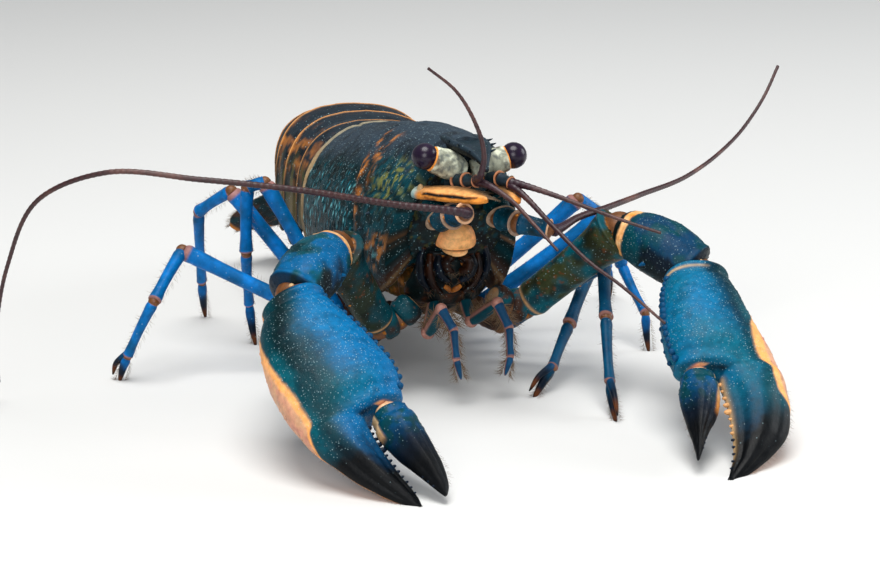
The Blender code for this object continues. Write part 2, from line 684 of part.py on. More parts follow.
def claw_wrist(name, side):
    """The claw's wrist piece, broad on its inner side, with a spine there."""
    elbow = sided([ARM[side][-1]], side)[0]
    before = sided([ARM[side][-2]], side)[0]
    wrist, along, outward, up = claw_frame(side)
    first = joint_plane(before, elbow, wrist)
    last = unit(unit(wrist - elbow) + along)
    start = elbow + first * GAP * 0.55
    end = wrist - last * GAP * 0.55
    path = [start + (end - start) * t for t in (0.0, 0.2, 0.45, 0.7, 0.88, 1.0)]
    bulge = (0.0, 0.5, 0.8, 0.6, 0.3, 0.0)
    path = [p + up * b for p, b in zip(path, bulge)]
    sizes = [(2.6, 2.6), (3.5, 3.4), (4.1, 3.8), (4.1, 3.8), (3.6, 3.4), (3.0, 2.9)]
    pieces = [sweep("wrist", path, sizes, 12, first_plane=first, last_plane=last)]
    inner = path[3] - outward * 3.2
    pieces.append(spine(inner, inner - outward * 2.4 + along * 1.6, 1.0, 6))
    return fuse(name, pieces)


def hand_ring(frame, row, sides=14, bow=0.0):
    wrist, along, outward, up = frame
    place, outer, inner, half = row
    centre = wrist + along * place + outward * (outer + inner) / 2 + up * bow
    return [centre + outward * a + up * b
            for a, b in oval((outer - inner) / 2, half, sides, 2.3)]


def slide(ring, along, point, plane):
    """A ring moved along a direction into a plane."""
    return [p - along * np.dot(p - point, plane) / np.dot(along, plane) for p in ring]


def hand(name, side):
    """Palm and fixed finger, with round grains on the inner edge and teeth on the finger."""
    frame = claw_frame(side)
    wrist, along, outward, up = frame
    elbow = sided([ARM[side][-1]], side)[0]
    plane = unit(unit(wrist - elbow) + along)
    start = wrist + plane * GAP * 0.55
    end = PALM[side][-1][0]
    places = [0.0] + [2.4 + (end - 2.4) * i / 7 for i in range(8)]
    rings = [hand_ring(frame, (p, *table(PALM[side], p))) for p in places]
    rings[0] = slide(rings[0], along, start, plane)
    pieces = [skin("palm", rings)]
    first = FIXED_FINGER[side][0][0]
    last = FIXED_FINGER[side][-1][0] + 0.2
    places = [first + (last - first) * (i / 10) ** 0.85 for i in range(11)]
    rings = [hand_ring(frame, (p, *table(FIXED_FINGER[side], p)), 10, finger_bow(p)) for p in places]
    pieces.append(skin("finger", rings))
    for i in range(BEADS):
        place = 3.2 + (end - 4.6) * i / (BEADS - 1)
        outer, inner, half = table(PALM[side], place)
        at = wrist + along * place + outward * (inner + 0.12) + up * half * 0.25
        pieces.append(bead(at, BEAD_RADIUS * random.uniform(0.86, 1.14)))
    for i in range(TEETH):
        place = end + 2.6 + (last - end - 6.0) * i / (TEETH - 1)
        outer, inner, half = table(FIXED_FINGER[side], place)
        size = TOOTH_RADIUS * (1.15 if i in (2, 3) else 0.85 - 0.03 * i)
        at = wrist + along * place + outward * (inner + 0.3) + up * finger_bow(place)
        pieces.append(bead(at, size))
    return fuse(name, pieces)


def finger_bow(place):
    """How far the fixed finger bends down, at a place along the hand."""
    return -0.1 - 0.02 * (place - 15)


def claw_finger(name, side):
    """The moving finger of the claw, on its inner side."""
    frame = claw_frame(side)
    wrist, along, outward, up = frame
    rows = CLAW_FINGER[side]
    first = rows[0][0]
    last = rows[-1][0]
    rings = []
    for i in range(9):
        place = first + (last - first) * (i / 8) ** 0.9
        rings.append(hand_ring(frame, (place, *table(rows, place)), 10, finger_lift(place, last)))
    pieces = [skin("finger", rings)]
    for i in range(TEETH):
        place = first + 2.6 + (last - first - 5.0) * i / (TEETH - 1)
        outer, inner, half = table(rows, place)
        at = wrist + along * place + outward * (outer - 0.35) + up * finger_lift(place, last)
        pieces.append(bead(at, TOOTH_RADIUS * (0.9 - 0.03 * i)))
    return fuse(name, pieces)


def finger_lift(place, last):
    """How far the moving finger rides over the hand's middle plane."""
    return 0.3 + 0.4 * max(place - last + 6.4, 0) / 6.4


def leg_upper_chain(name, side):
    s, spread = LEG_ROOT[name[4]]
    return [body(s, side * spread, LEG_ROOT_HEIGHT)] + sided(LEG_UPPER[name], side)


def leg_upper(name):
    side = RIGHT if name.endswith("R") else LEFT
    chain = leg_upper_chain(name, side)
    after = sided(LEG_LOWER[name], side)[1]
    plane = joint_plane(chain[-2], chain[-1], after)
    chain[-1] = chain[-1] - plane * GAP * 0.55
    path, sizes = limb_stations(chain, LEG_THICK)
    return sweep(name.replace("leg_", "leg_upper_"), path, sizes, 8, last_plane=plane)


def leg_lower(name):
    """From the knee to the foot. The foot is a small flat at floor level."""
    side = RIGHT if name.endswith("R") else LEFT
    chain = sided(LEG_LOWER[name], side)
    before = leg_upper_chain(name, side)[-2]
    plane = joint_plane(before, chain[0], chain[1])
    chain[0] = chain[0] + plane * GAP * 0.55
    radii = LEG_THIN if len(chain) == 4 else (LEG_THIN[0],) + LEG_THIN
    path, sizes = limb_stations(chain, radii)
    main = sweep("main", path, sizes, 8, first_plane=plane)
    pieces = [main]
    if name in PINCER_LEGS:
        pieces.append(pincer(chain))
    return fuse(name.replace("leg_", "leg_lower_"), pieces)


def pincer(chain):
    """The second finger of a pincer foot, held just over the floor."""
    wrist = np.array(chain[-2])
    palm = np.array(chain[-3])
    tip = np.array(chain[-1])
    root = wrist + unit(palm - wrist) * 1.0
    lift = unit(np.cross(unit(tip - wrist), np.cross((0, 0, 1), unit(tip - wrist))))
    end = tip + lift * 1.1 + (0, 0, 0.7)
    middle = (wrist + end) / 2 + lift * 0.7
    return sweep("second", [root, wrist + lift * 0.4, middle, end],
                 [(0.45, 0.45), (0.52, 0.52), (0.45, 0.45), (0.25, 0.25)], 6)


def joint_row(k):
    """Top point, downward and sideways directions, half width and depth of an abdomen joint."""
    x, y, z, lean, half, depth = ABDOMEN_JOINTS[k]
    back, side, up = turned(math.radians(lean), ABDOMEN_YAW, ROLL)
    return np.array((x, y, z)), -up, side, half, depth


def abdomen_ring(k, share, flap):
    """A ring of segment k, from its front joint to its rear one."""
    top_a, down_a, side, half_a, depth_a = joint_row(k)
    top_b, down_b, side, half_b, depth_b = joint_row(k + 1)
    top = top_a + (top_b - top_a) * share
    down = unit(down_a + (down_b - down_a) * share)
    swell = 0.955 + 0.045 * math.sin(min(share * 1.6, 1.0) * math.pi / 2)
    half = (half_a + (half_b - half_a) * share) * swell
    depth = depth_a + (depth_b - depth_a) * share
    top = top + down * (1 - swell) * depth * 0.8
    lower = [(x * half, f * depth) for x, f in FLAP_SECTION]
    lower += [(half * 0.99, depth + flap), (half * 0.9, depth + flap * 0.96),
              (half * 0.84, depth * 0.96), (half * 0.45, depth * 0.93), (0.0, depth * 0.92)]
    right = [top + down * d - side * x for x, d in lower]
    left = [top + down * d + side * x for x, d in lower]
    return right + left[-2:0:-1]


def swimmerets(k):
    """Two pairs of small leaves under a segment."""
    top_a, down_a, across, half_a, depth_a = joint_row(k)
    top_b, down_b, across, half_b, depth_b = joint_row(k + 1)
    top = (top_a + top_b) / 2
    down = unit(down_a + down_b)
    back = np.cross(across, down)
    depth = (depth_a + depth_b) / 2
    made = []
    for side in (RIGHT, LEFT):
        for x, reach, turn in ((4.4, 5.6, 0.3), (7.0, 4.8, 0.5)):
            root = top + down * (depth * 0.86) + across * x * side
            tip = root + down * reach + back * reach * turn + across * side * 0.5
            halves = ((0.6, 0.6, 0), (1.1, 1.1, 0), (1.2, 1.2, 0), (0.5, 0.5, 0))
            made.append(blade("leaf", root, tip, across, halves, 0.75))
    return made


def abdomen_segment(k):
    flap = FLAP_DROP[k]
    length = np.linalg.norm(joint_row(k + 1)[0] - joint_row(k)[0])
    edge = GAP / length
    rings = []
    for share, drop in ((edge, 0.12), (0.3, 0.72), (0.55, 1.0), (0.8, 0.75), (1.0 - edge, 0.15)):
        rings.append(abdomen_ring(k, share, flap * drop))
    pieces = [skin("segment", rings)]
    if 1 <= k <= 4:
        pieces += swimmerets(k)
    return fuse("abdomen_%d" % (k + 1), pieces)


def tail_leaf(name, x_root, x_tip, drop, length, halves, thick=1.1):
    """A leaf of the tail fan. Drop puts it under the leaf before it."""
    along = unit(np.subtract(TAIL_TIP, TAIL_ROOT))
    across = SIDE - along * np.dot(SIDE, along)
    under = np.cross(along, across)
    under = under if under[2] < 0 else -under
    root = np.array(TAIL_ROOT) + across * x_root + under * drop
    reach = unit(along * length + across * (x_tip - x_root))
    return blade(name, root, root + reach * length, across, halves, thick)


def tail():
    wide = ((3.2, 3.2, 0.0), (4.0, 4.0, 0.1), (4.3, 4.3, 0.1), (4.3, 4.3, 0.0), (4.1, 4.1, -0.1),
            (3.4, 3.4, -0.2), (1.6, 1.6, -0.2))
    tail_leaf("telson", 0.0, 0.0, 0.0, 14.4, wide, 1.6)
    inner = ((1.0, 1.0, 0.0), (2.4, 2.2, 0.0), (3.2, 3.0, 0.0), (3.5, 3.4, 0.0), (3.3, 3.2, 0.0),
             (2.5, 2.4, 0.0), (1.0, 1.0, 0.0))
    for side, mark in ((RIGHT, "R"), (LEFT, "L")):
        halves = [(a, b, 0.0) if side == LEFT else (b, a, 0.0) for a, b, c in inner]
        tail_leaf("uropod_inner_" + mark, side * 3.6, side * 9.8, 1.5, 13.6, halves)
        tail_leaf("uropod_outer_" + mark, side * 5.2, side * 18.0, 2.9, 14.6, halves)


def colour(made, kind):
    material = bpy.data.materials.new(made.name + "_" + kind)
    material.use_nodes = True
    shader = material.node_tree.nodes["Principled BSDF"]
    shader.inputs["Base Color"].default_value = COLOURS[kind]
    shader.inputs["Roughness"].default_value = 0.35
    made.data.materials.clear()
    made.data.materials.append(material)


def kind_of(name):
    for start, kind in (("eye", "eye"), ("head", "head"), ("scale", "head"), ("antenn", "feeler"),
                        ("claw", "claw"), ("leg", "leg"), ("maxilliped", "leg")):
        if name.startswith(start):
            return kind
    return "shell"


def build():
    for old in list(bpy.data.objects):
        bpy.data.objects.remove(old)
    random.seed(SEED)
    carapace()
    sternum()
    head()
    for k in range(6):
        abdomen_segment(k)
    tail()
    for side, mark in ((RIGHT, "R"), (LEFT, "L")):
        eye("eye_" + mark, side)
        scale("scale_" + mark, side)
        antenna_base("antenna_base_" + mark, side)
        feeler("antenna_" + mark, ANTENNA[side], 34, 0.52, 0.25, 6)
        antennule("antennule_" + mark, side)
        mouth_leg("maxilliped_" + mark, side)
        arm("claw_arm_" + mark, side)
        claw_wrist("claw_wrist_" + mark, side)
        hand("claw_hand_" + mark, side)
        claw_finger("claw_finger_" + mark, side)
    for name in LEG_UPPER:
        leg_upper(name)
        leg_lower(name)
    for made in bpy.data.objects:
        colour(made, kind_of(made.name))


if __name__ == "__main__":
    build()
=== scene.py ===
"""Looks of the cherax crayfish: finer shells, claws, legs and feelers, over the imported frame.

Sizes are in millimetres up to the mesh itself, where MM turns them into metres.
The animal faces -Y, its right side is -X, and it stands on the floor at z = 0.
Along its body, s is the distance behind the eyes and h the height over the line of the eyes.
"""

import itertools
import math

import bmesh
import bpy
import numpy as np
from bpy.props import FloatProperty, FloatVectorProperty, IntProperty, PointerProperty
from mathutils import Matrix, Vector


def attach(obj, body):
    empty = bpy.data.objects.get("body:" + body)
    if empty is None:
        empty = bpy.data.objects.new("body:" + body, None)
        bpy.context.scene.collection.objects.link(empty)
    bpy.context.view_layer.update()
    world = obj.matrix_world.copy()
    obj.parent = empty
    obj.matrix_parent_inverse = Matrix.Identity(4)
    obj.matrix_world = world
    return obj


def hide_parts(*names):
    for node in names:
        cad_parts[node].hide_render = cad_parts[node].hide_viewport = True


bl_info = {
    "name": "Cherax Crayfish",
    "version": (1, 0, 0),
    "blender": (4, 5, 0),
    "location": "3D View > Sidebar > Crayfish",
    "description": "Builds the shells, claws, legs, feelers and tail of a crayfish over its packed frame",
    "category": "Add Mesh",
}

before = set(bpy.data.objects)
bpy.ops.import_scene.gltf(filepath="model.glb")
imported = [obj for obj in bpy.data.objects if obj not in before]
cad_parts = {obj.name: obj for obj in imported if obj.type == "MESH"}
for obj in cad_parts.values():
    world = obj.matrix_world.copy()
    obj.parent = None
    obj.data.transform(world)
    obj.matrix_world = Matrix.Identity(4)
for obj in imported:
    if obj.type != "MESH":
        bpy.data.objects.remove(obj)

MM = 0.001
SHIFT = np.array((-2.46, -18.84, 0))
PITCH = math.radians(8)
YAW = math.radians(3.2)
ROLL = math.radians(3.5)
EYE_HEIGHT = 34.0
GAP = 0.3
RIGHT = -1
LEFT = 1
SIDES = ((RIGHT, "R"), (LEFT, "L"))

# Carapace: dorsal s, dorsal h, lower edge s, lower edge h.
SHELL_LINES = (
    (1, 2.5, 9.2, -18.4), (4, 2.8, 11.4, -19.6), (8, 3.1, 14.2, -20.2), (14, 3.4, 18.2, -20.2),
    (20, 3.4, 23, -20), (27, 3.1, 28.4, -19.6), (34, 2.7, 33.8, -19), (40, 2.2, 38.4, -18),
)
SHELL_HALF_WIDTH = ((0, 6.3), (3, 7.5), (6, 9), (9, 10), (13, 10.9), (18, 11.7), (24, 12.3), (40, 12.5))
# Half of the carapace's section: share of the half width, share of the depth.
SHELL_SECTION = (
    (0, 0), (0.24, 0.014), (0.46, 0.06), (0.67, 0.145), (0.85, 0.27), (0.96, 0.42), (1, 0.58), (0.985, 0.76),
    (0.9, 0.93), (0.8, 1), (0.7, 0.95), (0.6, 0.86), (0.32, 0.83), (0, 0.82),
)
SHELL_EDGE = 9  # the row of the section at the shell's lower edge
SHELL_POINTS = 96
SHELL_RINGS = 230
FRONT_HOLLOW = 1.6
GROOVE_LINE = ((0, 20.4), (0.12, 19.6), (0.3, 17.2), (0.5, 14.9), (0.7, 13.4), (0.9, 12.6))
ROSTRUM = (
    (8, 2.4, 2.4), (2.6, 2.5, 2.9), (0, 2.1, 2.8), (-2.4, 1.7, 2.3), (-4.6, 0.9, 1.4), (-6, -0.1, 0.7),
    (-6.9, -1.1, 0.3),
)
ROSTRUM_SECTION = (
    (0, -0.6, 0), (0.35, -0.5, 0), (0.6, -0.25, 0), (0.78, 0.05, 0), (0.88, 0.1, 0), (0.96, -0.05, -0.1),
    (1, -0.1, -0.35), (0.92, 0, -0.62), (0.75, 0, -0.85), (0.4, 0, -0.96), (0, 0, -1),
)
ROSTRUM_DEPTH = ((-6.9, 0.6), (-5, 1.2), (0, 1.8), (8, 2.6))

# Abdomen joints: x, y, z of the back line, lean of the joint, half width, depth to the belly.
ABDOMEN_JOINTS = (
    (2.3, 40.2, 30.1, 13, 11.8, 14.2), (2.8, 43.6, 30.3, 9, 12.3, 14.6), (3.3, 49.6, 30.4, 5, 12.5, 14.6),
    (3.8, 55.8, 30.4, 8, 12.3, 13.8), (4.4, 62, 28.5, 24, 11.5, 12.2), (4.8, 67.2, 23.6, 43, 10.3, 10.2),
    (5.1, 70.8, 17, 57, 8.8, 7.8),
)
ABDOMEN_YAW = math.radians(4.5)
FLAP_DROP = (1.4, 4.6, 4.4, 4.2, 3.6, 2.4)
FLAP_SECTION = ((0, 0), (0.3, 0.02), (0.58, 0.09), (0.8, 0.23), (0.94, 0.44), (1, 0.7), (1, 0.92))
FLAP_UNDERSIDE = ((0.99, 1, 1), (0.9, 1, 0.96), (0.84, 0.96, 0), (0.45, 0.93, 0), (0, 0.92, 0))
FLAP_OUTLINE = ((-0.12, 0.05), (0, 0.12), (0.3, 0.72), (0.55, 1), (0.8, 0.75), (1, 0.15))
TERGITE_SWELL = ((-0.12, 0.93), (0.05, 0.945), (0.22, 0.975), (0.5, 0.995), (0.85, 1), (0.97, 1), (1, 0.985))
TERGITE_POINTS = 60
TELSON_WIDTH = ((0, 3.2), (0.17, 4), (0.4, 4.3), (0.6, 4.25), (0.8, 4), (0.93, 3.1), (1, 1.5))
UROPOD_WIDTH = (
    (0, 1, 1), (0.17, 2.4, 2.2), (0.35, 3.2, 3), (0.55, 3.5, 3.4), (0.75, 3.3, 3.2), (0.92, 2.4, 2.3),
    (1, 1, 1),
)
TAIL_TUCK = 1.3

# Claw hand, from the wrist along its length: place, outer edge, inner edge, half thickness.
PALM = {
    RIGHT: (
        (0, 3, -3, 2.9), (2.2, 5, -3.6, 3.5), (5, 6.9, -4.3, 4), (9, 8.2, -5.3, 4.3), (13, 8.9, -6.2, 4.4),
        (17, 8.9, -6.6, 4.2), (19.6, 8.6, -6, 3.8), (21, 8.2, -4.9, 3.2),
    ),
    LEFT: (
        (0, 3, -3, 2.9), (2.2, 3.9, -4.6, 3.5), (5, 4.9, -5.5, 4), (9, 6, -5.9, 4.3), (13, 7.2, -6, 4.4),
        (16, 8.3, -5.6, 4.1), (18.2, 8.9, -4.8, 3.4),
    ),
}
FIXED_FINGER = {
    RIGHT: (
        (15, 8, 0.2, 3.2), (19, 8.6, -0.1, 3.2), (23, 7.8, 0.3, 2.9), (27, 6.2, 0.2, 2.4),
        (30.5, 4.4, -0.1, 1.8), (33.3, 2.5, -0.5, 1.15), (35.2, 1, -0.6, 0.7), (36.1, 0.2, -0.4, 0.35),
    ),
    LEFT: (
        (13, 6.8, 0.5, 3.2), (17, 8.4, 0.4, 3.2), (21, 9.4, 0.8, 3), (25, 9.3, 1.2, 2.6), (29, 8, 1.2, 2),
        (32, 5.6, 0.9, 1.4), (34.3, 3, 0.2, 0.8), (36.1, 0.5, -0.4, 0.35),
    ),
}
CLAW_FINGER = {
    RIGHT: (
        (21.6, -1, -4.2, 1.8), (23, -0.7, -5, 2.2), (25.5, -0.85, -5.3, 2.2), (28.5, -1.35, -5.5, 1.9),
        (31.5, -1.95, -5.5, 1.5), (34, -2.5, -5, 1), (35.6, -2.9, -4.3, 0.6), (36.4, -3.2, -3.7, 0.32),
    ),
    LEFT: (
        (18.8, -0.7, -3.9, 1.8), (20.2, -0.4, -4.5, 2.1), (22.5, -0.5, -4.75, 2.1), (25.5, -1, -4.8, 1.8),
        (28.5, -2.1, -4.6, 1.4), (30.8, -2.9, -4.3, 1), (32.4, -3.4, -4.15, 0.6), (33.3, -3.75, -4.1, 0.3),
    ),
}

# Each chain runs from the body outwards. A side's numbers are x outward from the middle, y, z.
ARM_THICK = (2.1, 2.1, 2.5, 3.3)
ARM = {
    RIGHT: ((5.8, 5.6, 12.8), (8.2, 5.8, 10.6), (10.8, 6.2, 9.8), (18.6, 1.8, 22.4)),
    LEFT: ((5.8, 5.6, 12.4), (8.2, 5.9, 10.8), (10.9, 6, 10.3), (21.1, -3.1, 22.4)),
}
WRIST = {RIGHT: (27.7, -6.9, 19.2), LEFT: (27.7, -13.5, 18.4)}
CLAW_TIP = {RIGHT: (21.9, -36.9, 0), LEFT: (17.7, -42.7, 0)}
CLAW_ROLL = {RIGHT: math.radians(17), LEFT: math.radians(-4)}
LEG_ROOT = {"2": (14.4, 5.4), "3": (20, 5.6), "4": (25.6, 5.6), "5": (31.4, 5.4)}
LEG_ROOT_HEIGHT = -21.8
LEG_CHAIN = {
    "leg_2_R": ((10.4, 11.9, 6), (23, 5.4, 14.6), (25.4, -1.4, 10.6), (23.8, -8.4, 3.6), (22, -12, -0.4)),
    "leg_2_L": ((10, 12.2, 5.8), (22.2, 3.8, 16), (18.4, -5, 10.6), (15.5, -12.5, 3.8), (14.2, -17.3, -0.4)),
    "leg_3_R": ((10.2, 17, 5.6), (32.7, 26.6, 17.5), (38.2, 22.3, 11.8), (41.8, 24.2, 3.6),
               (42.8, 25.3, -0.4)),
    "leg_3_L": ((9.8, 17, 5.4), (23.5, 10.5, 13.5), (16.8, 3.6, 7.4), (11.7, -2, 3.3), (8.1, -3.6, -0.4)),
    "leg_4_R": ((10.4, 22.4, 5.6), (19.6, 28.8, 25.7), (22, 29.5, 25), (22.1, 30.4, 15.2),
               (20.2, 35.6, 5.8), (19.8, 34, -0.4)),
    "leg_4_L": ((9.8, 22.4, 5.2), (27.8, 15.9, 19.7), (32.1, 18.1, 10.9), (32.3, 10.4, 5.5),
               (32.6, 9.6, -0.4)),
    "leg_5_R": ((10.2, 28.4, 5.4), (22.8, 34.8, 23.4), (26.2, 40.2, 19.4), (23.6, 48.4, 6.2),
               (22.4, 51, -0.4)),
    "leg_5_L": ((9.8, 28.4, 5), (27.5, 24, 20.1), (33.2, 28.6, 16.4), (38.4, 35.8, 5.4), (40, 38, -0.4)),
}
PINCER_LEGS = ("leg_2_R", "leg_2_L", "leg_3_R", "leg_3_L")
# Legs under the claws and the body, whose blues are painted darker as shade.
SHADED_LEGS = ("leg_2_R", "leg_2_L", "leg_3_L")
LEG_THICK = (1.75, 1.45, 1.15)
LEG_THIN = (1.1, 0.95, 0.72, 0.28)

ANTENNA = {
    RIGHT: ((-3.6, -8, 28.3), (-4.5, -9.1, 28.7), (-7.2, -9, 29.3), (-12.9, -7.9, 30.2),
            (-26.1, -6, 33), (-38.4, -3, 34.8), (-49.6, 1.5, 35.7), (-56.9, 7, 31.8),
            (-60.3, 13, 21.7), (-61.4, 18, 9.4), (-60.6, 21.5, 3)),
    LEFT: ((8.9, -8.1, 24.7), (10.6, -6.8, 24.7), (13.9, -4, 24.9), (20.8, 1, 24.6),
           (29.7, 8, 24.1), (43, 18, 23.8), (51.2, 24, 25.2), (58.1, 29, 27.7),
           (63.1, 32, 31.6), (66.4, 34, 35.6)),
}
ANTENNA_BASE = {
    RIGHT: ((-4.6, -0.8, 25.9), (-4.2, -4.4, 27.1), (-3.75, -7.4, 28.15)),
    LEFT: ((4.2, -1.2, 25.4), (5.2, -4.6, 25.3), (8.5, -7.8, 24.8)),
}
FEELER_BASE = {RIGHT: ((-2, -1.8, 31.2), (-1.2, -5.4, 31.8)), LEFT: ((2.6, -1.8, 31.2), (3.8, -5.4, 31.1))}
FEELER_UP = {
    RIGHT: ((-1.3, -5, 31.8), (-1.5, -7.2, 32.9), (-1.15, -7.7, 35.2), (-1.4, -7.5, 37.7),
            (-2.1, -7, 40), (-4.3, -5.6, 44.2), (-7.6, -4, 47.2)),
    LEFT: ((3.6, -4.9, 31.2), (4.9, -6.6, 31), (8.7, -10, 29.8), (12.1, -13, 28.5),
           (16.6, -17, 26.9), (19.3, -19, 26)),
}
FEELER_DOWN = {
    RIGHT: ((-1.2, -5, 31.7), (-0.4, -7, 31.6), (1.6, -10, 30.1), (3.4, -14, 27.4),
            (4.9, -18, 24.8)),
    LEFT: ((3.6, -4.9, 30.9), (4.3, -7, 30.2), (6.9, -12, 26.5), (9.8, -18, 22.5),
           (12, -21, 20.6), (16.1, -27, 16.2)),
}
SCALE_BLADE = {RIGHT: ((-7, 1.8, 29.3), (-1.5, -9.6, 30.2)), LEFT: ((6.8, 1.8, 29.3), (2.3, -9.6, 29.6))}
MOUTH_LEG = {
    RIGHT: ((-2.1, 7.4, 12.6), (-4.3, 4.4, 8.5), (-4.1, 0, 13), (-2.9, -1.5, 10.4),
            (-3.1, -3, 6.6), (-2.6, -3.5, 3.8)),
    LEFT: ((2.1, 7.4, 12.6), (2.3, 4.6, 9.4), (4.2, 0, 13), (5.3, -1.5, 9.8), (4.9, -3, 6.1),
           (3.9, -3.5, 3.6)),
}
MOUTH_LEG_THICK = (1, 1.15, 1, 0.8, 0.62, 0.34)
ANTENNA_THICK = (1.75, 1.75, 1.5, 1.2)
FEELER_THICK = (1.05, 1, 0.9, 0.72)
RING_POINTS = 5
SCALE_WIDTH = (
    (0, 1, 1.1), (0.06, 1.3, 1.3), (0.17, 1.6, 1.3), (0.33, 2.1, 1.3), (0.5, 2.2, 1.3), (0.67, 2, 1.25),
    (0.83, 1.4, 1.1), (0.94, 0.8, 0.9), (1, 0.25, 0.4),
)
# The shield over the mouth, by the share down the head. Palps: x, share down the head, reach.
SHIELD_HALF = ((0.545, 0.9), (0.56, 1.6), (0.595, 2.35), (0.64, 2.8), (0.68, 2.95), (0.7, 2.8), (0.712, 2.4))
SHIELD_OUT = ((0.545, 1.9), (0.575, 2.7), (0.63, 3.15), (0.68, 3.1), (0.712, 2.6))
PALPS = (
    ((0.6, 0.76, 2.3), (1.7, 0.775, 3.1), (1.5, 0.81, 3.4), (0.6, 0.84, 3.1)),
    ((2.3, 0.76, 1.7), (2.5, 0.81, 2.7), (1.9, 0.87, 3.1), (0.7, 0.91, 3)),
    ((3.4, 0.76, 1.2), (3.6, 0.84, 2.2), (3, 0.93, 2.6), (1.5, 1, 2.8)),
    ((4.4, 0.72, 0.9), (4.9, 0.8, 1.7), (4.5, 0.9, 2.1), (3.1, 1, 2.4)),
)
WRIST_SHAPE = (
    (0, 1.7, 1.7), (0.04, 2.5, 2.5), (0.2, 3.5, 3.4), (0.45, 4.1, 3.85), (0.7, 4.1, 3.85), (0.88, 3.75, 3.5),
    (0.97, 3.3, 3.1), (1, 2.3, 2.2),
)
WRIST_BULGE = ((0, 0), (0.2, 0.5), (0.45, 0.8), (0.7, 0.6), (0.88, 0.3), (1, 0))
HAND_SIDES = 128
FINGER_SIDES = 84
FACE_OUT = 2.0
EYE_SPREAD = 6.3
EYE_RADIUS = 1.8
TAIL_ROOT = (5.2, 71.2, 16.2)
TAIL_TIP = (5.6, 80.6, 5)

# One limb article's thickness along it: a narrow neck in its joint, and a rim round the next joint.
ARTICLE = (
    (0, 0.5), (0.02, 0.76), (0.07, 0.98), (0.2, 0.98), (0.5, 0.94), (0.8, 1), (0.93, 1.13), (0.985, 1.06),
    (1, 0.72),
)
LAST_ARTICLE = ((0, 0.5), (0.03, 0.8), (0.1, 1), (0.4, 0.92), (0.7, 0.68), (0.92, 0.36), (1, 0.16))
BARREL = (
    (0, 0.4), (0.03, 0.62), (0.1, 0.84), (0.25, 1), (0.5, 1.04), (0.75, 1.02), (0.9, 0.86), (0.97, 0.62),
    (1, 0.4),
)

CAMERA_PLACE = (-123.7, -295.6, 106.6)
CAMERA_AZIMUTH = math.radians(-22)
CAMERA_ELEVATION = math.radians(16)
CAMERA_LENS = 100.0

# The floor reaches this far in metres. A light: name, place, what it points at, size, power, colour.
FLOOR_REACH = 3.0
LIGHTS = (
    ("top_light", (-0.05, -0.1, 0.55), (0, 0, 0), 0.4, 3.5, (1.0, 0.99, 0.97)),
    ("front_light", (-0.3, -0.6, 0.3), (0, 0, 0.01), 0.4, 2.1, (1.0, 1.0, 1.0)),
    ("side_light", (0.6, -0.1, 0.25), (0, 0, 0.02), 0.35, 1.6, (0.94, 0.97, 1.0)),
)


def tone(rgb):
    """A linear colour from values of 0 to 255."""
    shares = np.array(rgb, float) / 255
    return np.where(shares <= 0.04045, shares / 12.92, ((shares + 0.055) / 1.055) ** 2.4)


def colour_choice(name, description, rgb):
    return FloatVectorProperty(name=name, description=description, default=tuple(tone(rgb)),
                               subtype="COLOR", min=0.0, max=1.0)


class CrayfishColours(bpy.types.PropertyGroup):
    """Colours of the shells, joints and soft parts."""

    slate: colour_choice("Slate", "Grey-blue of the back", (46, 60, 72))
    deep: colour_choice("Deep Green", "Dark green of the flanks", (2, 30, 32))
    black: colour_choice("Black", "Darkest parts of the shell", (5, 7, 10))
    teal: colour_choice("Teal", "Teal of the claws and cheeks", (0, 84, 98))
    pale_teal: colour_choice("Pale Teal", "Drops on the flanks", (110, 184, 190))
    blue: colour_choice("Claw Blue", "Saturated blue of the claws", (0, 94, 146))
    bright: colour_choice("Leg Blue", "Bright blue of the legs", (0, 114, 194))
    navy: colour_choice("Navy", "Finger tips and dark legs", (4, 18, 34))
    cream: colour_choice("Cream", "Pale patches", (232, 192, 140))
    orange: colour_choice("Orange", "Shell edges and joint bands", (236, 148, 60))
    rust: colour_choice("Rust", "Brown stripes and blotches", (104, 54, 22))
    olive: colour_choice("Olive", "Yellow-green mottling", (98, 96, 36))
    pink: colour_choice("Pink", "Rims of the fingers", (220, 150, 128))
    feeler: colour_choice("Feeler", "Dark red-brown feelers", (52, 20, 22))
    eye: colour_choice("Eye", "Purple-black eyes", (26, 14, 34))
    grain: colour_choice("Grain", "Pale grains in the shell", (176, 208, 214))
    bristle: colour_choice("Bristle", "Hairs of the legs and mouth", (108, 84, 58))


def count_choice(name, description, default):
    return IntProperty(name=name, description=description, default=default, min=2, max=40)


def size_choice(name, description, default, low, high, **kind):
    return FloatProperty(name=name, description=description, default=default, min=low, max=high, **kind)


class CrayfishSizes(bpy.types.PropertyGroup):
    """Sizes and counts of what repeats on the shells."""

    palm_beads: count_choice("Palm Beads", "Round grains on each palm's inner edge", 15)
    bead_radius: size_choice("Bead Radius", "Radius of a palm bead, in mm", 0.6, 0.1, 1.5)
    finger_teeth: count_choice("Finger Teeth", "Teeth along each claw finger", 13)
    tooth_radius: size_choice("Tooth Radius", "Radius of a finger tooth, in mm", 0.42, 0.1, 1)
    ring_length: size_choice("Feeler Ring", "Length of one ring of a feeler, in mm", 0.8, 0.2, 3)
    bristle_thick: size_choice("Bristle Thickness", "A bristle's radius, as a share of its length",
                               0.03, 0.005, 0.2, subtype="FACTOR")
    bristle_curl: size_choice("Bristle Curl", "How far a bristle bends, as a share of its length",
                              0.25, 0, 1, subtype="FACTOR")


class Inks:
    """The chosen colours by their names, as arrays."""

    def __getattr__(self, name):
        return np.array(getattr(bpy.context.scene.crayfish_colours, name)[:3])


ink = Inks()


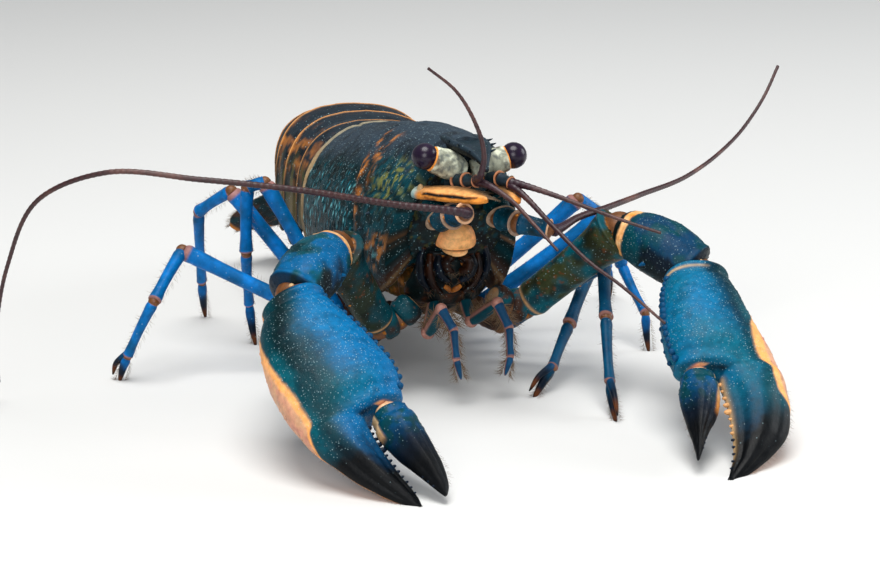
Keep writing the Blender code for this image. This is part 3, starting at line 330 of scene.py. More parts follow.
def turned(pitch, yaw, roll):
    """The directions of a body held so: tailward, to its left, and up."""
    back = np.array((math.sin(yaw) * math.cos(pitch), math.cos(yaw) * math.cos(pitch), -math.sin(pitch)))
    level = np.array((math.cos(yaw), -math.sin(yaw), 0))
    up = np.cross(level, back)
    return back, level * math.cos(roll) - up * math.sin(roll), up * math.cos(roll) + level * math.sin(roll)


BACK, SIDE, UP = turned(PITCH, YAW, ROLL)


def body(s, x, h):
    """Points of the body in the model's frame, from numbers or arrays."""
    s, x, h = (np.asarray(v, float)[..., None] for v in (s, x, h))
    return np.array((0, 0, EYE_HEIGHT)) + BACK * s + SIDE * x + UP * h


def unit(vector):
    vector = np.asarray(vector, float)
    return vector / np.linalg.norm(vector, axis=-1, keepdims=True)


def table(rows, keys):
    """The columns of a table at some keys, eased from row to row."""
    rows = np.array(rows, float)
    if rows[0, 0] > rows[-1, 0]:
        rows = rows[::-1]
    marks = rows[:, 0]
    values = rows[:, 1:]
    slopes = np.gradient(values, marks, axis=0)
    keys = np.clip(np.asarray(keys, float), marks[0], marks[-1])
    i = np.clip(np.searchsorted(marks, keys, side="right") - 1, 0, len(marks) - 2)
    span = (marks[i + 1] - marks[i])[..., None]
    t = (keys - marks[i])[..., None] / span
    ease = 3 * t * t - 2 * t ** 3
    start = t - 2 * t * t + t ** 3
    end = t ** 3 - t * t
    return (values[i] * (1 - ease) + values[i + 1] * ease + span * (slopes[i] * start + slopes[i + 1] * end))


def column(rows, keys):
    return table(rows, keys)[..., 0]


def columns(rows, keys):
    """The columns of a table, each as an array of its own."""
    return np.moveaxis(table(rows, keys), -1, 0)


def eased(points, count):
    """A line of points made finer, eased from one point to the next."""
    return table([(i, *point) for i, point in enumerate(points)], np.linspace(0, len(points) - 1, count))


def both_halves(half, sign=1):
    """A half outline with its mirror image, as the whole round."""
    return np.concatenate([sign * half, half[-2:0:-1]])


def sided(points, side):
    """Points given as outward distances, on the animal's side."""
    return np.array([(p[0] * side, p[1], p[2]) for p in points], float)


def step(value, start, end):
    """A smooth step from 0 at start to 1 at end, rising or falling."""
    t = np.clip((np.asarray(value, float) - start) / (end - start), 0, 1)
    return t * t * (3 - 2 * t)


def at_ends(value, near_end, near_start, far_start, far_end):
    """1 at both ends of a range and 0 between them."""
    return np.maximum(step(value, near_end, near_start), step(value, far_start, far_end))


def hill(value, middle, width):
    """A smooth hill of height 1 round a middle."""
    return np.exp(-((np.asarray(value, float) - middle) / width) ** 2)


def mix(first, second, share):
    """The first colour turning into the second by a share. A colour may be a name."""
    first, second = (getattr(ink, c) if isinstance(c, str) else c for c in (first, second))
    share = np.clip(np.asarray(share, float), 0, 1)[..., None]
    return first + (second - first) * share


def laid(colour, *layers):
    """A colour with layers over it, each a colour and its share."""
    for over, share in layers:
        colour = mix(colour, over, share)
    return colour


def lattice(cell, seed):
    """A fixed random value from 0 to 1 for each whole-number cell."""
    mixed = (cell[..., 0] * 73856093) ^ (cell[..., 1] * 19349663) ^ (cell[..., 2] * 83492791)
    mixed = mixed ^ (seed * 2654435)
    mixed = (mixed ^ (mixed >> 13)) * 1274126177
    mixed = mixed ^ (mixed >> 16)
    return (mixed & 0xFFFF) / 65535.0


def noise(points, size, seed=0):
    """Smooth random values from 0 to 1, changing over that size."""
    places = np.asarray(points, float) / size
    cell = np.floor(places).astype(np.int64)
    t = places - cell
    t = t * t * (3 - 2 * t)
    total = np.zeros(places.shape[:-1])
    for corner in itertools.product((0, 1), repeat=3):
        share = np.prod(np.where(np.array(corner) == 1, t, 1 - t), axis=-1)
        total += share * lattice(cell + np.array(corner), seed)
    return total


def clouds(points, size, seed=0):
    """Three layers of ever finer noise, spread over 0 to 1."""
    total = sum(noise(points, size / 2 ** k, seed + k) / 2 ** k for k in range(3)) / 1.75
    return np.clip((total - 0.5) * 1.6 + 0.5, 0, 1)


def patches(points, size, seed, low, high):
    """Patches with soft edges, where the clouds pass from low to high."""
    return step(clouds(points, size, seed), low, high)


def bumps(points, size, seed, height):
    """Cloudy ups and downs of a surface, half the height either way."""
    return height * (clouds(points, size, seed) - 0.5)


def grains(points, spacing, seed=0):
    """Nearness to the middle of a scattered grain, 1 being at it."""
    places = np.asarray(points, float) / spacing
    cell = np.floor(places).astype(np.int64)
    nearest = np.full(places.shape[:-1], 9.0)
    for offset in itertools.product((-1, 0, 1), repeat=3):
        near = cell + np.array(offset)
        middle = near + 0.15 + 0.7 * np.stack([lattice(near, seed + k) for k in range(3)], axis=-1)
        nearest = np.minimum(nearest, np.linalg.norm(places - middle, axis=-1))
    return np.clip(1 - nearest * 2, 0, 1)


def swollen(rings, amount):
    """Closed rings pushed out along their surface by an amount at each point."""
    along = np.gradient(rings, axis=0)
    around = np.roll(rings, -1, axis=1) - np.roll(rings, 1, axis=1)
    normals = np.cross(along, around)
    normals = normals / np.maximum(np.linalg.norm(normals, axis=-1, keepdims=True), 1e-9)
    if np.sum(normals * (rings - rings.mean(axis=1, keepdims=True))) < 0:
        normals = -normals
    return rings + normals * np.asarray(amount)[..., None]


def oval(sides, power=2):
    """The points of a unit oval, squarer as the power grows."""
    angle = 2 * math.pi * (np.arange(sides) + 0.5) / sides
    c = np.cos(angle)
    s = np.sin(angle)
    return np.sign(c) * np.abs(c) ** (2 / power), np.sign(s) * np.abs(s) ** (2 / power)


def tube(path, half_side, half_lift, across, sides, power=2):
    """Rings round a line of points, half_side being their size across."""
    along = unit(np.gradient(path, axis=0))
    side = unit(across - along * (along @ np.asarray(across, float))[:, None])
    lift = np.cross(along, side)
    a, b = oval(sides, power)
    half_side = np.broadcast_to(half_side, len(path))[:, None, None]
    half_lift = np.broadcast_to(half_lift, len(path))[:, None, None]
    return path[:, None] + side[:, None] * a[:, None] * half_side + lift[:, None] * b[:, None] * half_lift


def eased_path(points, count):
    """Points spread evenly along an eased line through a few points."""
    points = np.array(points, float)
    marks = np.concatenate([[0], np.cumsum(np.linalg.norm(np.diff(points, axis=0), axis=1))])
    return table(np.column_stack([marks, points]), np.linspace(0, marks[-1], count))


def slowed(count):
    """Shares from 0 to 1, closer together near both ends."""
    return 0.5 - 0.5 * np.cos(np.pi * np.linspace(0, 1, count))


def flat(grid, first, last):
    """A grid's values in a row, then those of a form's two ends."""
    return np.concatenate([np.ravel(grid), [first, last]])


def placed(points):
    """Points in metres in the frame, none under the floor."""
    points = np.array(points, float) + SHIFT
    points[..., 2] = np.maximum(points[..., 2], 0)
    return points * MM


def keep(mesh, name, kind, values):
    """Values kept on the points of a mesh. Colours get their fourth value."""
    if kind == "FLOAT_COLOR":
        values = np.column_stack([np.clip(values, 0, 1), np.ones(len(values))])
    field = {"FLOAT": "value", "FLOAT_VECTOR": "vector", "FLOAT_COLOR": "color"}[kind]
    mesh.attributes.new(name, kind, "POINT").data.foreach_set(field, np.ravel(values))


class Form:
    """Closed, painted surfaces gathered into one mesh piece."""

    def __init__(self, name):
        self.name = name
        self.points = []
        self.faces = []
        self.paints = []
        self.specks = []

    def add(self, rings, paint, speck=0, along=None, first=None, last=None):
        """A closed surface over rings, a fan at each end.

        Paint and speck are a value, or a function of the points, their share along and share round.
        """
        rings = np.asarray(rings, float)
        rows, sides = rings.shape[:2]
        first = rings[0].mean(axis=0) if first is None else first
        last = rings[-1].mean(axis=0) if last is None else last
        points = np.concatenate([rings.reshape(-1, 3), [first, last]])
        along = np.linspace(0, 1, rows) if along is None else np.asarray(along, float)
        along = flat(np.repeat(along, sides), along[0], along[-1])
        around = flat(np.tile(np.arange(sides) / sides, rows), 0, 0)
        count = sum(len(p) for p in self.points)
        k = np.arange(sides)
        after = (k + 1) % sides
        starts = np.arange(rows - 1)[:, None] * sides
        quads = np.stack([starts + k, starts + after, starts + sides + after, starts + sides + k], axis=-1)
        end = count + (rows - 1) * sides
        tip = count + len(points) - 1
        fans = [(tip - 1, count + b, count + a) for a, b in zip(k, after)]
        fans += [(tip, end + a, end + b) for a, b in zip(k, after)]
        self.faces += (quads.reshape(-1, 4) + count).tolist() + fans
        self.points.append(points)
        colour = paint(points, along, around) if callable(paint) else np.asarray(paint, float)
        self.paints.append(np.broadcast_to(colour, points.shape))
        amount = speck(points, along, around) if callable(speck) else speck
        self.specks.append(np.broadcast_to(amount, len(points)))

    def piece(self, material, slot, *nodes):
        """The mesh object, riding on the frame and standing for its nodes."""
        mesh = bpy.data.meshes.new(self.name)
        mesh.from_pydata(placed(np.concatenate(self.points)).tolist(), [], self.faces)
        keep(mesh, "paint", "FLOAT_COLOR", np.concatenate(self.paints))
        keep(mesh, "speck", "FLOAT", np.concatenate(self.specks))
        outward(mesh)
        return finished(self.name, mesh, material, slot, *nodes)


def outward(mesh):
    """Faces turned outward and shaded smooth."""
    work = bmesh.new()
    work.from_mesh(mesh)
    bmesh.ops.recalc_face_normals(work, faces=work.faces)
    work.to_mesh(mesh)
    work.free()
    mesh.shade_smooth()


def shown(name, data):
    made = bpy.data.objects.new(name, data)
    bpy.context.scene.collection.objects.link(made)
    return made


def finished(name, mesh, material, slot, *nodes):
    """An object for a mesh in its place, riding on the frame."""
    made = shown(name, mesh)
    mesh.materials.clear()
    mesh.materials.append(material_of(material))
    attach(made, "root")
    if nodes:
        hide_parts(*nodes)
    return made


class Seeds:
    """Places of a repeated small shape: root, aim with length, size and colour."""

    def __init__(self, name):
        self.name = name
        self.rows = []

    def add(self, root, aim, size, colour):
        self.rows.append((*root, *aim, size, *colour))

    def fringe(self, roots, aims, count, length, seed, scatter, shade=1):
        """Bristles spread along a line of roots and aims, each a little different."""
        chance = np.random.default_rng(seed)
        roots = np.asarray(roots, float)
        aims = np.broadcast_to(unit(aims), roots.shape)
        for share in (np.arange(count) + chance.random(count)) / count * (len(roots) - 1):
            i = min(int(share), len(roots) - 2)
            t = share - i
            root = roots[i] + (roots[i + 1] - roots[i]) * t
            aim = unit(aims[i] + (aims[i + 1] - aims[i]) * t + chance.normal(0, scatter, 3))
            self.add(root, aim * length * chance.uniform(0.6, 1.15), 1, ink.bristle * shade)

    def bristles(self, slot):
        """The seeds as bristles, shaped by the panel's sizes."""
        sizes = bpy.context.scene.crayfish_sizes
        shape = (("Curl", sizes.bristle_curl), ("Thickness", sizes.bristle_thick))
        self.piece("bristles", "bristle", slot, shape)

    def piece(self, tree, material, slot, inputs=()):
        """The repeated shapes as one plain mesh, riding on the frame."""
        rows = np.array(self.rows, float)
        mesh = bpy.data.meshes.new(self.name + "_seeds")
        mesh.from_pydata(placed(rows[:, :3]).tolist(), [], [])
        keep(mesh, "aim", "FLOAT_VECTOR", rows[:, 3:6] * MM)
        keep(mesh, "size", "FLOAT", rows[:, 6] * MM)
        keep(mesh, "paint", "FLOAT_COLOR", rows[:, 7:10])
        finished(self.name, grown(mesh, tree, material, inputs), material, slot)


def grown(mesh, tree, material, inputs=()):
    """What a Geometry Nodes tree makes of a mesh, as a plain mesh."""
    seed = shown("seed", mesh)
    modifier = seed.modifiers.new("grow", "NODES")
    modifier.node_group = tree_of(tree)
    items = modifier.node_group.interface.items_tree
    sockets = {item.name: item.identifier for item in items if item.in_out == "INPUT"}
    for name, value in (("Material", material_of(material)), *inputs):
        modifier[sockets[name]] = value
    bpy.context.view_layer.update()
    graph = bpy.context.evaluated_depsgraph_get()
    result = bpy.data.meshes.new_from_object(seed.evaluated_get(graph))
    seed.modifiers.clear()
    bpy.data.objects.remove(seed)
    for corner in result.vertices:
        corner.co.z = max(corner.co.z, 0)
    result.shade_smooth()
    return result


def new_tree(name, inputs=()):
    """A Geometry Nodes tree with named numbers, and its entry's sockets."""
    tree = bpy.data.node_groups.new(name, "GeometryNodeTree")
    for way, kind in (("INPUT", "Geometry"), ("INPUT", "Material"), ("OUTPUT", "Geometry")):
        tree.interface.new_socket(kind, in_out=way, socket_type="NodeSocket" + kind)
    for label, default in inputs:
        socket = tree.interface.new_socket(label, in_out="INPUT", socket_type="NodeSocketFloat")
        socket.default_value = default
    return tree, tree.nodes.new("NodeGroupInput").outputs


def feed(tree, node, values):
    """A node's input values. A value that is a socket is linked."""
    for name, value in values.items():
        if isinstance(value, bpy.types.NodeSocket):
            tree.links.new(value, node.inputs[name])
        else:
            node.inputs[name].default_value = value


def add_node(tree, kind, values=None, **settings):
    """The outputs of a new node with its settings and input values."""
    node = tree.nodes.new(kind if "Node" in kind else tree.bl_idname.replace("NodeTree", "Node") + kind)
    for name, value in settings.items():
        setattr(node, name, value)
    feed(tree, node, values or {})
    return node.outputs


def named(tree, name, kind):
    """Values that a mesh keeps under a name."""
    return add_node(tree, "InputNamedAttribute", {"Name": name}, data_type=kind)["Attribute"]


def maths(tree, operation, *values):
    """The result of a sum on two or three values."""
    return add_node(tree, "ShaderNodeMath", dict(enumerate(values)), operation=operation)["Value"]


def ramp(tree, value, low, high, start, end):
    """A value from low to high turned into one from start to end."""
    limits = {"From Min": low, "From Max": high, "To Min": start, "To Max": end}
    return add_node(tree, "ShaderNodeMapRange", {"Value": value, **limits})["Result"]


def end_tree(tree, entry, geometry):
    """Realize Instances, Set Material and the output."""
    real = add_node(tree, "RealizeInstances", {"Geometry": geometry})["Geometry"]
    dressed = add_node(tree, "SetMaterial", {"Geometry": real, "Material": entry["Material"]})
    add_node(tree, "NodeGroupOutput", {"Geometry": dressed["Geometry"]})
    return tree


def end_on_seeds(tree, entry, shape, sized):
    """The shape on every seed, as long as its aim. A sized one is as wide as its size."""
    aim = named(tree, "aim", "FLOAT_VECTOR")
    scale = add_node(tree, "ShaderNodeVectorMath", {0: aim}, operation="LENGTH")["Value"]
    if sized:
        width = named(tree, "size", "FLOAT")
        scale = add_node(tree, "ShaderNodeCombineXYZ", {"X": width, "Y": width, "Z": scale})["Vector"]
    turn = add_node(tree, "FunctionNodeAlignRotationToVector", {"Vector": aim}, axis="Z")["Rotation"]
    made = add_node(tree, "InstanceOnPoints", {
        "Points": entry["Geometry"], "Instance": shape, "Rotation": turn, "Scale": scale,
    })
    return end_tree(tree, entry, made["Instances"])


def bristle_tree(name):
    """A tapered, bent bristle on each seed, as long as the seed's aim."""
    tree, entry = new_tree(name, (("Curl", 0.25), ("Thickness", 0.03)))
    bend = add_node(tree, "ShaderNodeCombineXYZ", {"X": entry["Curl"], "Z": 1})["Vector"]
    line = add_node(tree, "CurveQuadraticBezier", {
        "Resolution": 3, "Start": (0, 0, 0), "Middle": (0, 0, 0.55), "End": bend,
    })["Curve"]
    along = add_node(tree, "SplineParameter")["Factor"]
    taper = ramp(tree, along, 0, 1, 1, 0.15)
    ring = add_node(tree, "CurvePrimitiveCircle", {"Resolution": 4, "Radius": entry["Thickness"]})
    hair = add_node(tree, "CurveToMesh", {
        "Curve": line, "Profile Curve": ring["Curve"], "Scale": taper, "Fill Caps": True,
    })
    return end_on_seeds(tree, entry, hair["Mesh"], False)


def bead_tree(name):
    """A round grain on each seed, stretched to the length of the seed's aim."""
    tree, entry = new_tree(name)
    ball = add_node(tree, "MeshUVSphere", {"Segments": 10, "Rings": 7, "Radius": 1})
    return end_on_seeds(tree, entry, ball["Mesh"], True)


def thorn_tree(name):
    """A thorn with a rounded tip on each seed, as long as the seed's aim."""
    tree, entry = new_tree(name)
    cone = add_node(tree, "MeshCone", {
        "Vertices": 10, "Side Segments": 4, "Fill Segments": 1, "Radius Top": 0.14, "Radius Bottom": 1,
        "Depth": 1,
    })
    return end_on_seeds(tree, entry, cone["Mesh"], True)


def feeler_tree(name):
    """A ringed, tapered whip along a line of points."""
    tree, entry = new_tree(name, (("Points per Ring", RING_POINTS), ("Ring Swell", 0.14)))
    line = add_node(tree, "MeshToCurve", {"Mesh": entry["Geometry"]})["Curve"]
    index = add_node(tree, "InputIndex")["Index"]
    phase = maths(tree, "FLOORED_MODULO", index, entry["Points per Ring"])
    share = maths(tree, "DIVIDE", phase, entry["Points per Ring"])
    swell = maths(tree, "MULTIPLY_ADD", share, entry["Ring Swell"], 0.92)
    radius = maths(tree, "MULTIPLY", named(tree, "size", "FLOAT"), swell)
    ring = add_node(tree, "CurvePrimitiveCircle", {"Resolution": 10, "Radius": 1})["Curve"]
    whip = add_node(tree, "CurveToMesh", {
        "Curve": line, "Profile Curve": ring, "Scale": radius, "Fill Caps": True,
    })
    return end_tree(tree, entry, whip["Mesh"])


def painted(name, scale, detail, rough, mottle):
    """A new material, its tree, place, cloudy noise and toned paint."""
    material = bpy.data.materials.new("crayfish_" + name)
    material.use_nodes = True
    tree = material.node_tree
    paint = add_node(tree, "Attribute", attribute_name="paint")["Color"]
    place = add_node(tree, "TexCoord")["Object"]
    cloud = add_node(tree, "TexNoise", {
        "Vector": place, "Scale": scale / MM, "Detail": detail, "Roughness": rough,
    })["Fac"]
    shade = ramp(tree, cloud, 0.32, 0.68, 1 - mottle, 1 + mottle)
    toned = add_node(tree, "VectorMath", {0: paint, "Scale": shade}, operation="SCALE")["Vector"]
    return material, tree, place, cloud, toned


def hard_material(name, roughness, coat=0, mottle=0.22, grain_size=0.42, relief=0.35):
    """Shell: toned paint with pale grains, finely pitted."""
    material, tree, place, cloud, toned = painted(name, 1.1, 5, 0.62, mottle)
    speck = add_node(tree, "Attribute", attribute_name="speck")["Fac"]
    cells = add_node(tree, "TexVoronoi", {"Vector": place, "Scale": 1 / (grain_size * MM), "Randomness": 1})
    round_grain = ramp(tree, cells["Distance"], 0.08, 0.3, 1, 0)
    parts = add_node(tree, "SeparateColor", {"Color": cells["Color"]})
    chosen = maths(tree, "LESS_THAN", parts["Red"], speck)
    grain = maths(tree, "MULTIPLY", round_grain, chosen)
    faint = maths(tree, "MULTIPLY_ADD", parts["Green"], 0.55, 0.12)
    soft_grain = maths(tree, "MULTIPLY", grain, faint)
    pale = (*ink.grain, 1)
    colour = add_node(tree, "Mix", {0: soft_grain, 6: toned, 7: pale}, data_type="RGBA")[2]
    pits = add_node(tree, "TexNoise", {
        "Vector": place, "Scale": 4.2 / MM, "Detail": 3, "Roughness": 0.6,
    })["Fac"]
    height = maths(tree, "MULTIPLY_ADD", round_grain, 0.3, pits)
    bump = add_node(tree, "Bump", {"Height": height, "Strength": relief, "Distance": 0.14 * MM})
    feed(tree, tree.nodes["Principled BSDF"], {
        "Base Color": colour, "Normal": bump["Normal"],
        "Roughness": ramp(tree, cloud, 0.3, 0.7, roughness - 0.06, roughness + 0.1),
        "Specular IOR Level": 0.13, "Coat Weight": coat, "Coat Roughness": 0.2,
    })
    return material


def soft_material(name, roughness=0.5, mottle=0.3, relief=0.3, gloss=None):
    """Joint skin, feelers, bristles and eyes: toned paint."""
    material, tree, place, cloud, toned = painted(name, 1.6, 4, 0.6, mottle)
    bump = add_node(tree, "Bump", {"Height": cloud, "Strength": relief, "Distance": 0.12 * MM})
    values = {"Base Color": toned, "Normal": bump["Normal"], "Roughness": roughness}
    feed(tree, tree.nodes["Principled BSDF"], {**values, **(gloss or {})})
    return material


HARD_FINISHES = {
    "shell": {"roughness": 0.46, "grain_size": 0.38, "relief": 0.6},
    "abdomen": {"roughness": 0.46, "relief": 0.5},
    "claw": {"roughness": 0.4, "mottle": 0.2, "grain_size": 0.3},
    "leg": {"roughness": 0.42, "mottle": 0.2, "grain_size": 0.36},
    "face": {"roughness": 0.45, "coat": 0.08, "mottle": 0.3, "grain_size": 0.34},
}
SOFT_FINISHES = {
    "skin": {},
    "feeler": {"roughness": 0.45, "mottle": 0.35, "relief": 0.4},
    "bristle": {"roughness": 0.6, "mottle": 0.15, "relief": 0},
    "eye": {"roughness": 0.28, "mottle": 0.25, "relief": 0.05,
            "gloss": {"Coat Weight": 0.15, "Coat Roughness": 0.15, "Specular IOR Level": 0.25}},
}
TREES = {"bristles": bristle_tree, "beads": bead_tree, "thorns": thorn_tree, "feelers": feeler_tree}


def material_of(name):
    """A material that an earlier operator has made, or a new one."""
    old = bpy.data.materials.get("crayfish_" + name)
    if name in HARD_FINISHES:
        return old or hard_material(name, **HARD_FINISHES[name])
    return old or soft_material(name, **SOFT_FINISHES[name])


def tree_of(name):
    """A Geometry Nodes tree that an earlier operator has made, or a new one."""
    return bpy.data.node_groups.get("crayfish_" + name) or TREES[name]("crayfish_" + name)


def add_ball(form, centre, radius, paint, stretch=(1, 1, 1), sides=18, rows=10):
    tilt = np.linspace(-math.pi / 2, math.pi / 2, rows + 2)[1:-1, None]
    a, b = oval(sides)
    ring = np.stack([np.cos(tilt) * a, np.cos(tilt) * b, np.sin(tilt) + 0 * a], axis=-1)
    centre = np.asarray(centre)
    up = np.array((0, 0, radius * stretch[2]))
    form.add(centre + ring * radius * np.array(stretch), paint, first=centre - up, last=centre + up)


def add_article(form, start, end, radii, across, paint, profile=ARTICLE, flatness=1, sides=26, rows=44,
                bow=0, speck=0):
    """One limb article from joint to joint, with its neck, swelling and rim."""
    start = np.asarray(start, float)
    end = np.asarray(end, float)
    shares = slowed(rows)
    lift = unit(np.cross(unit(end - start), across))
    path = start + (end - start) * shares[:, None] + lift * (bow * np.sin(np.pi * shares))[:, None]
    radius = (radii[0] + (radii[1] - radii[0]) * shares) * column(profile, shares)
    form.add(tube(path, radius, radius * flatness, across, sides), paint, speck, along=shares)


def bend_normal(chain):
    """The direction across the plane that a chain bends in."""
    chain = np.asarray(chain, float)
    return np.linalg.svd(chain - chain.mean(axis=0))[2][2]


def articles(chain, thick):
    """A limb's articles in turn: number, start, end and the radii at both."""
    for k in range(len(chain) - 1):
        yield k, chain[k], chain[k + 1], thick[k:k + 2]


def banded(base, second, band, seed=0, size=3, rim=0.9):
    """Paint of a limb article: mottled, with a pale band at each joint."""
    def paint(at, along, around):
        rims = at_ends(along, 0.04, 0.02, 0.95, 0.97)
        ends = at_ends(along, 0.008, 0.004, 0.99, 0.995)
        colour = mix(base, second, clouds(at, size, seed))
        return laid(colour, (band, rims * rim), (ink.rust * 0.3, ends))
    return paint


def shell_surface(s_top, x_share, depth_share):
    """Points of the carapace on the slanting sections that start at s_top."""
    top, low_s, low = columns(SHELL_LINES, s_top)
    s = s_top + (low_s - s_top) * depth_share
    return body(s, x_share * column(SHELL_HALF_WIDTH, s), top + (low - top) * depth_share)


def carapace_colour(at, s, depth):
    """Colours of the carapace by s and the share down its flank."""
    cloud = clouds(at, 2.6, 3)
    fine = clouds(at, 0.8, 5)
    flecks = step(fine, 0.4, 0.6)
    broken = patches(at, 1, 9, 0.4, 0.6)
    flank = step(depth + 0.12 * (cloud - 0.5), 0.1, 0.3)
    cheek = step(s, 16, 11) * step(depth, 0.1, 0.22)
    yellow = cheek * hill(depth, 0.3, 0.12) * hill(s, 5.5, 4.5)
    yellow = yellow * patches(at * (1, 1, 2.2), 1.1, 8, 0.4, 0.6)
    colour = laid(
        mix(ink.slate * 0.95, ink.deep * 0.8, flank),
        ("black", 0.6 * step(cloud, 0.5, 0.9)),
        ("slate", 0.5 * step(fine, 0.55, 0.85) * (1 - flank)),
        (ink.teal * 0.55, 0.85 * cheek * step(fine, 0.35, 0.7)),
        (ink.teal * 0.7, 0.6 * yellow),
        (ink.olive * 2.2, yellow * patches(at, 0.6, 10, 0.5, 0.65)),
    )
    behind = s - column(GROOVE_LINE, depth)
    for place, width, reach in ((-1.6, 0.9, 0.5), (-5.2, 0.7, 0.26)):
        stripe = hill(behind - place + bumps(at, 2, 11, 3), 0, width)
        stripe = stripe * step(depth, 0.03, 0.1) * step(depth, reach + 0.14, reach) * broken
        colour = mix(colour, mix("rust", "orange", fine), 0.8 * stripe)
    gills = step(behind, -1, 2) * step(depth, 0.2, 0.36)
    drops = mix(ink.teal * 2, ink.pale_teal * 1.3, step(fine, 0.35, 0.65))
    spot = np.hypot((s - 5) / 2.6, (depth - 0.74) / 0.1) + bumps(at, 1.3, 12, 0.9)
    rim = 39.0 - 0.15 - 0.9 * hill(depth, 0.3, 0.07)
    rear = step(s, rim, rim + 0.15) * (1 - 0.5 * step(depth, 0.4, 0.8))
    return laid(
        colour,
        (ink.teal * 0.6, 0.6 * gills * flecks),
        (drops, gills * step(grains(at * (1.3, 1.3, 0.55), 0.95, 21), 0.4, 0.62)),
        (ink.orange * 0.7, 0.7 * hill(spot, 1, 0.3) * broken),
        (ink.pale_teal * 0.7, 0.7 * step(spot, 0.9, 0.4) * flecks),
        (ink.rust * 0.5, 0.7 * step(depth, 0.86, 0.97)),
        (ink.cream * 0.4, 0.5 * hill(depth, 0.985, 0.012)),
        (mix("pale_teal", "cream", 0.65 + 0.3 * step(depth, 0.1, 0.3)) * 0.5, rear * 0.9),
    )


def add_shell(form):
    """The shell with its grooves, ridges and grains."""
    first = SHELL_LINES[0][0]
    last = SHELL_LINES[-1][0]
    x, depth = eased(SHELL_SECTION, SHELL_POINTS).T
    row = both_halves(np.linspace(0, len(SHELL_SECTION) - 1, SHELL_POINTS))
    s, x = np.meshgrid(np.linspace(first, last, SHELL_RINGS), both_halves(np.maximum(x, 0), -1),
                       indexing="ij")
    depth = np.broadcast_to(both_halves(depth), s.shape)
    rings = shell_surface(s, x, depth)
    groove = column(GROOVE_LINE, depth)
    dent = -0.55 * hill(s, groove, 0.75) * step(depth, 0.95, 0.85)
    dent += 0.2 * hill(s, groove - 1.6, 1.2) * step(depth, 0.9, 0.6)
    for side in (RIGHT, LEFT):
        line = hill(x, side * (0.2 + 0.1 * step(s, 20, 40)), 0.03)
        dent -= 0.22 * line * step(s, 20.5, 23) * step(depth, 0.2, 0.1)
        dent += 0.45 * hill(x, side * 0.6, 0.07) * hill(s, 5.5, 3.5) * step(depth, 0.3, 0.2)
    dent -= 0.6 * hill(depth, 0.36, 0.03) * hill(s, 7.5, 3)
    dent += bumps(rings, 2.2, 2, 0.14) + 0.22 * hill(s, last - 0.35, 0.3)
    dent += 0.16 * step(grains(rings, 1.1, 4), 0.3, 1) * step(depth, 0.12, 0.3)
    rings = swollen(rings, dent * step(row, SHELL_EDGE, SHELL_EDGE - 1))
    s = flat(s, first, last)
    depth = flat(depth, 0.5, 0.5)
    top, low_s, low = table(SHELL_LINES, first)
    hollow = body((first + low_s) / 2 + FRONT_HOLLOW, 0, (top + low) / 2)
    share = (0.75 + 0.1 * step(depth, 0.1, 0.3)) * step(s, 38.8, 38.3)
    form.add(rings, lambda at, *rest: carapace_colour(at, s, depth),
             lambda at, *rest: share * (0.3 + clouds(at, 2.4, 31)), first=hollow)


def add_rostrum(form):
    """The pointed plate between the eyes, with raised rims and black undersides painted as the shadow under
    the rims.
    """
    s = np.linspace(ROSTRUM[0][0], ROSTRUM[-1][0] - 0.05, 90)[:, None]
    top, half = columns(ROSTRUM, s)
    x, lift, drop = eased(ROSTRUM_SECTION, 46).T
    x = both_halves(x, -1)
    drop = both_halves(drop)
    rise = both_halves(lift) * 0.35 * np.minimum(half, 1.5)
    rings = body(s, x * half, top + rise + drop * column(ROSTRUM_DEPTH, s))
    rings = swollen(rings, bumps(rings, 1, 6, 0.06))
    under = -flat(np.tile(drop, len(s)), 0, 0)
    edge = flat(np.tile(np.abs(x), len(s)), 0, 0)

    def paint(at, along, around):
        return laid(
            mix(ink.slate * 0.7, "deep", 0.6 * clouds(at, 1.2, 14)),
            (ink.slate * 1.1, 0.6 * hill(edge, 0.85, 0.1) * (under < 0.1)),
            # Painted shadow: the undersides below the rims are painted black.
            ("black", step(under, 0.12, 0.4)),
        )

    form.add(rings, paint, 0.25)


def add_thorns():
    """Small thorns on the rostrum's rims, behind the eyes and on the cheeks."""
    seeds = Seeds("shell_thorns")
    for side in (RIGHT, LEFT):
        for s in (0.6, -2, -4.2):
            top, half = table(ROSTRUM, s)
            root = body(s + 0.5, side * (half - 0.35), top - 0.4)
            tip = body(s - 0.9, side * (half + 0.3), top + 0.1)
            seeds.add(root, tip - root, 0.34, ink.slate * 0.8)
        for s_top, share, depth in ((9, 0.985, 0.5), (10.6, 1, 0.6), (12, 0.99, 0.7)):
            root = shell_surface(s_top, share * side, depth)
            out = unit(root - shell_surface(s_top, 0, depth))
            seeds.add(root - out * 0.4, out * 1.2 + (0, -0.9, 0), 0.3, ink.slate)
    seeds.piece("thorns", "face", "shell")


class CRAYFISH_OT_carapace(bpy.types.Operator):
    """Build the carapace and the rostrum with its teeth"""

    bl_idname = "crayfish.carapace"
    bl_label = "Carapace"

    def execute(self, context):
        form = Form("carapace_shell")
        add_shell(form)
        add_rostrum(form)
        form.piece("shell", "shell", "carapace")
        add_thorns()
        return {"FINISHED"}


def joint_row(k):
    """Top, down, across, half width and depth of an abdomen joint."""
    x, y, z, lean, half, depth = ABDOMEN_JOINTS[k]
    side, up = turned(math.radians(lean), ABDOMEN_YAW, ROLL)[1:]
    return np.array((x, y, z)), -up, side, half, depth


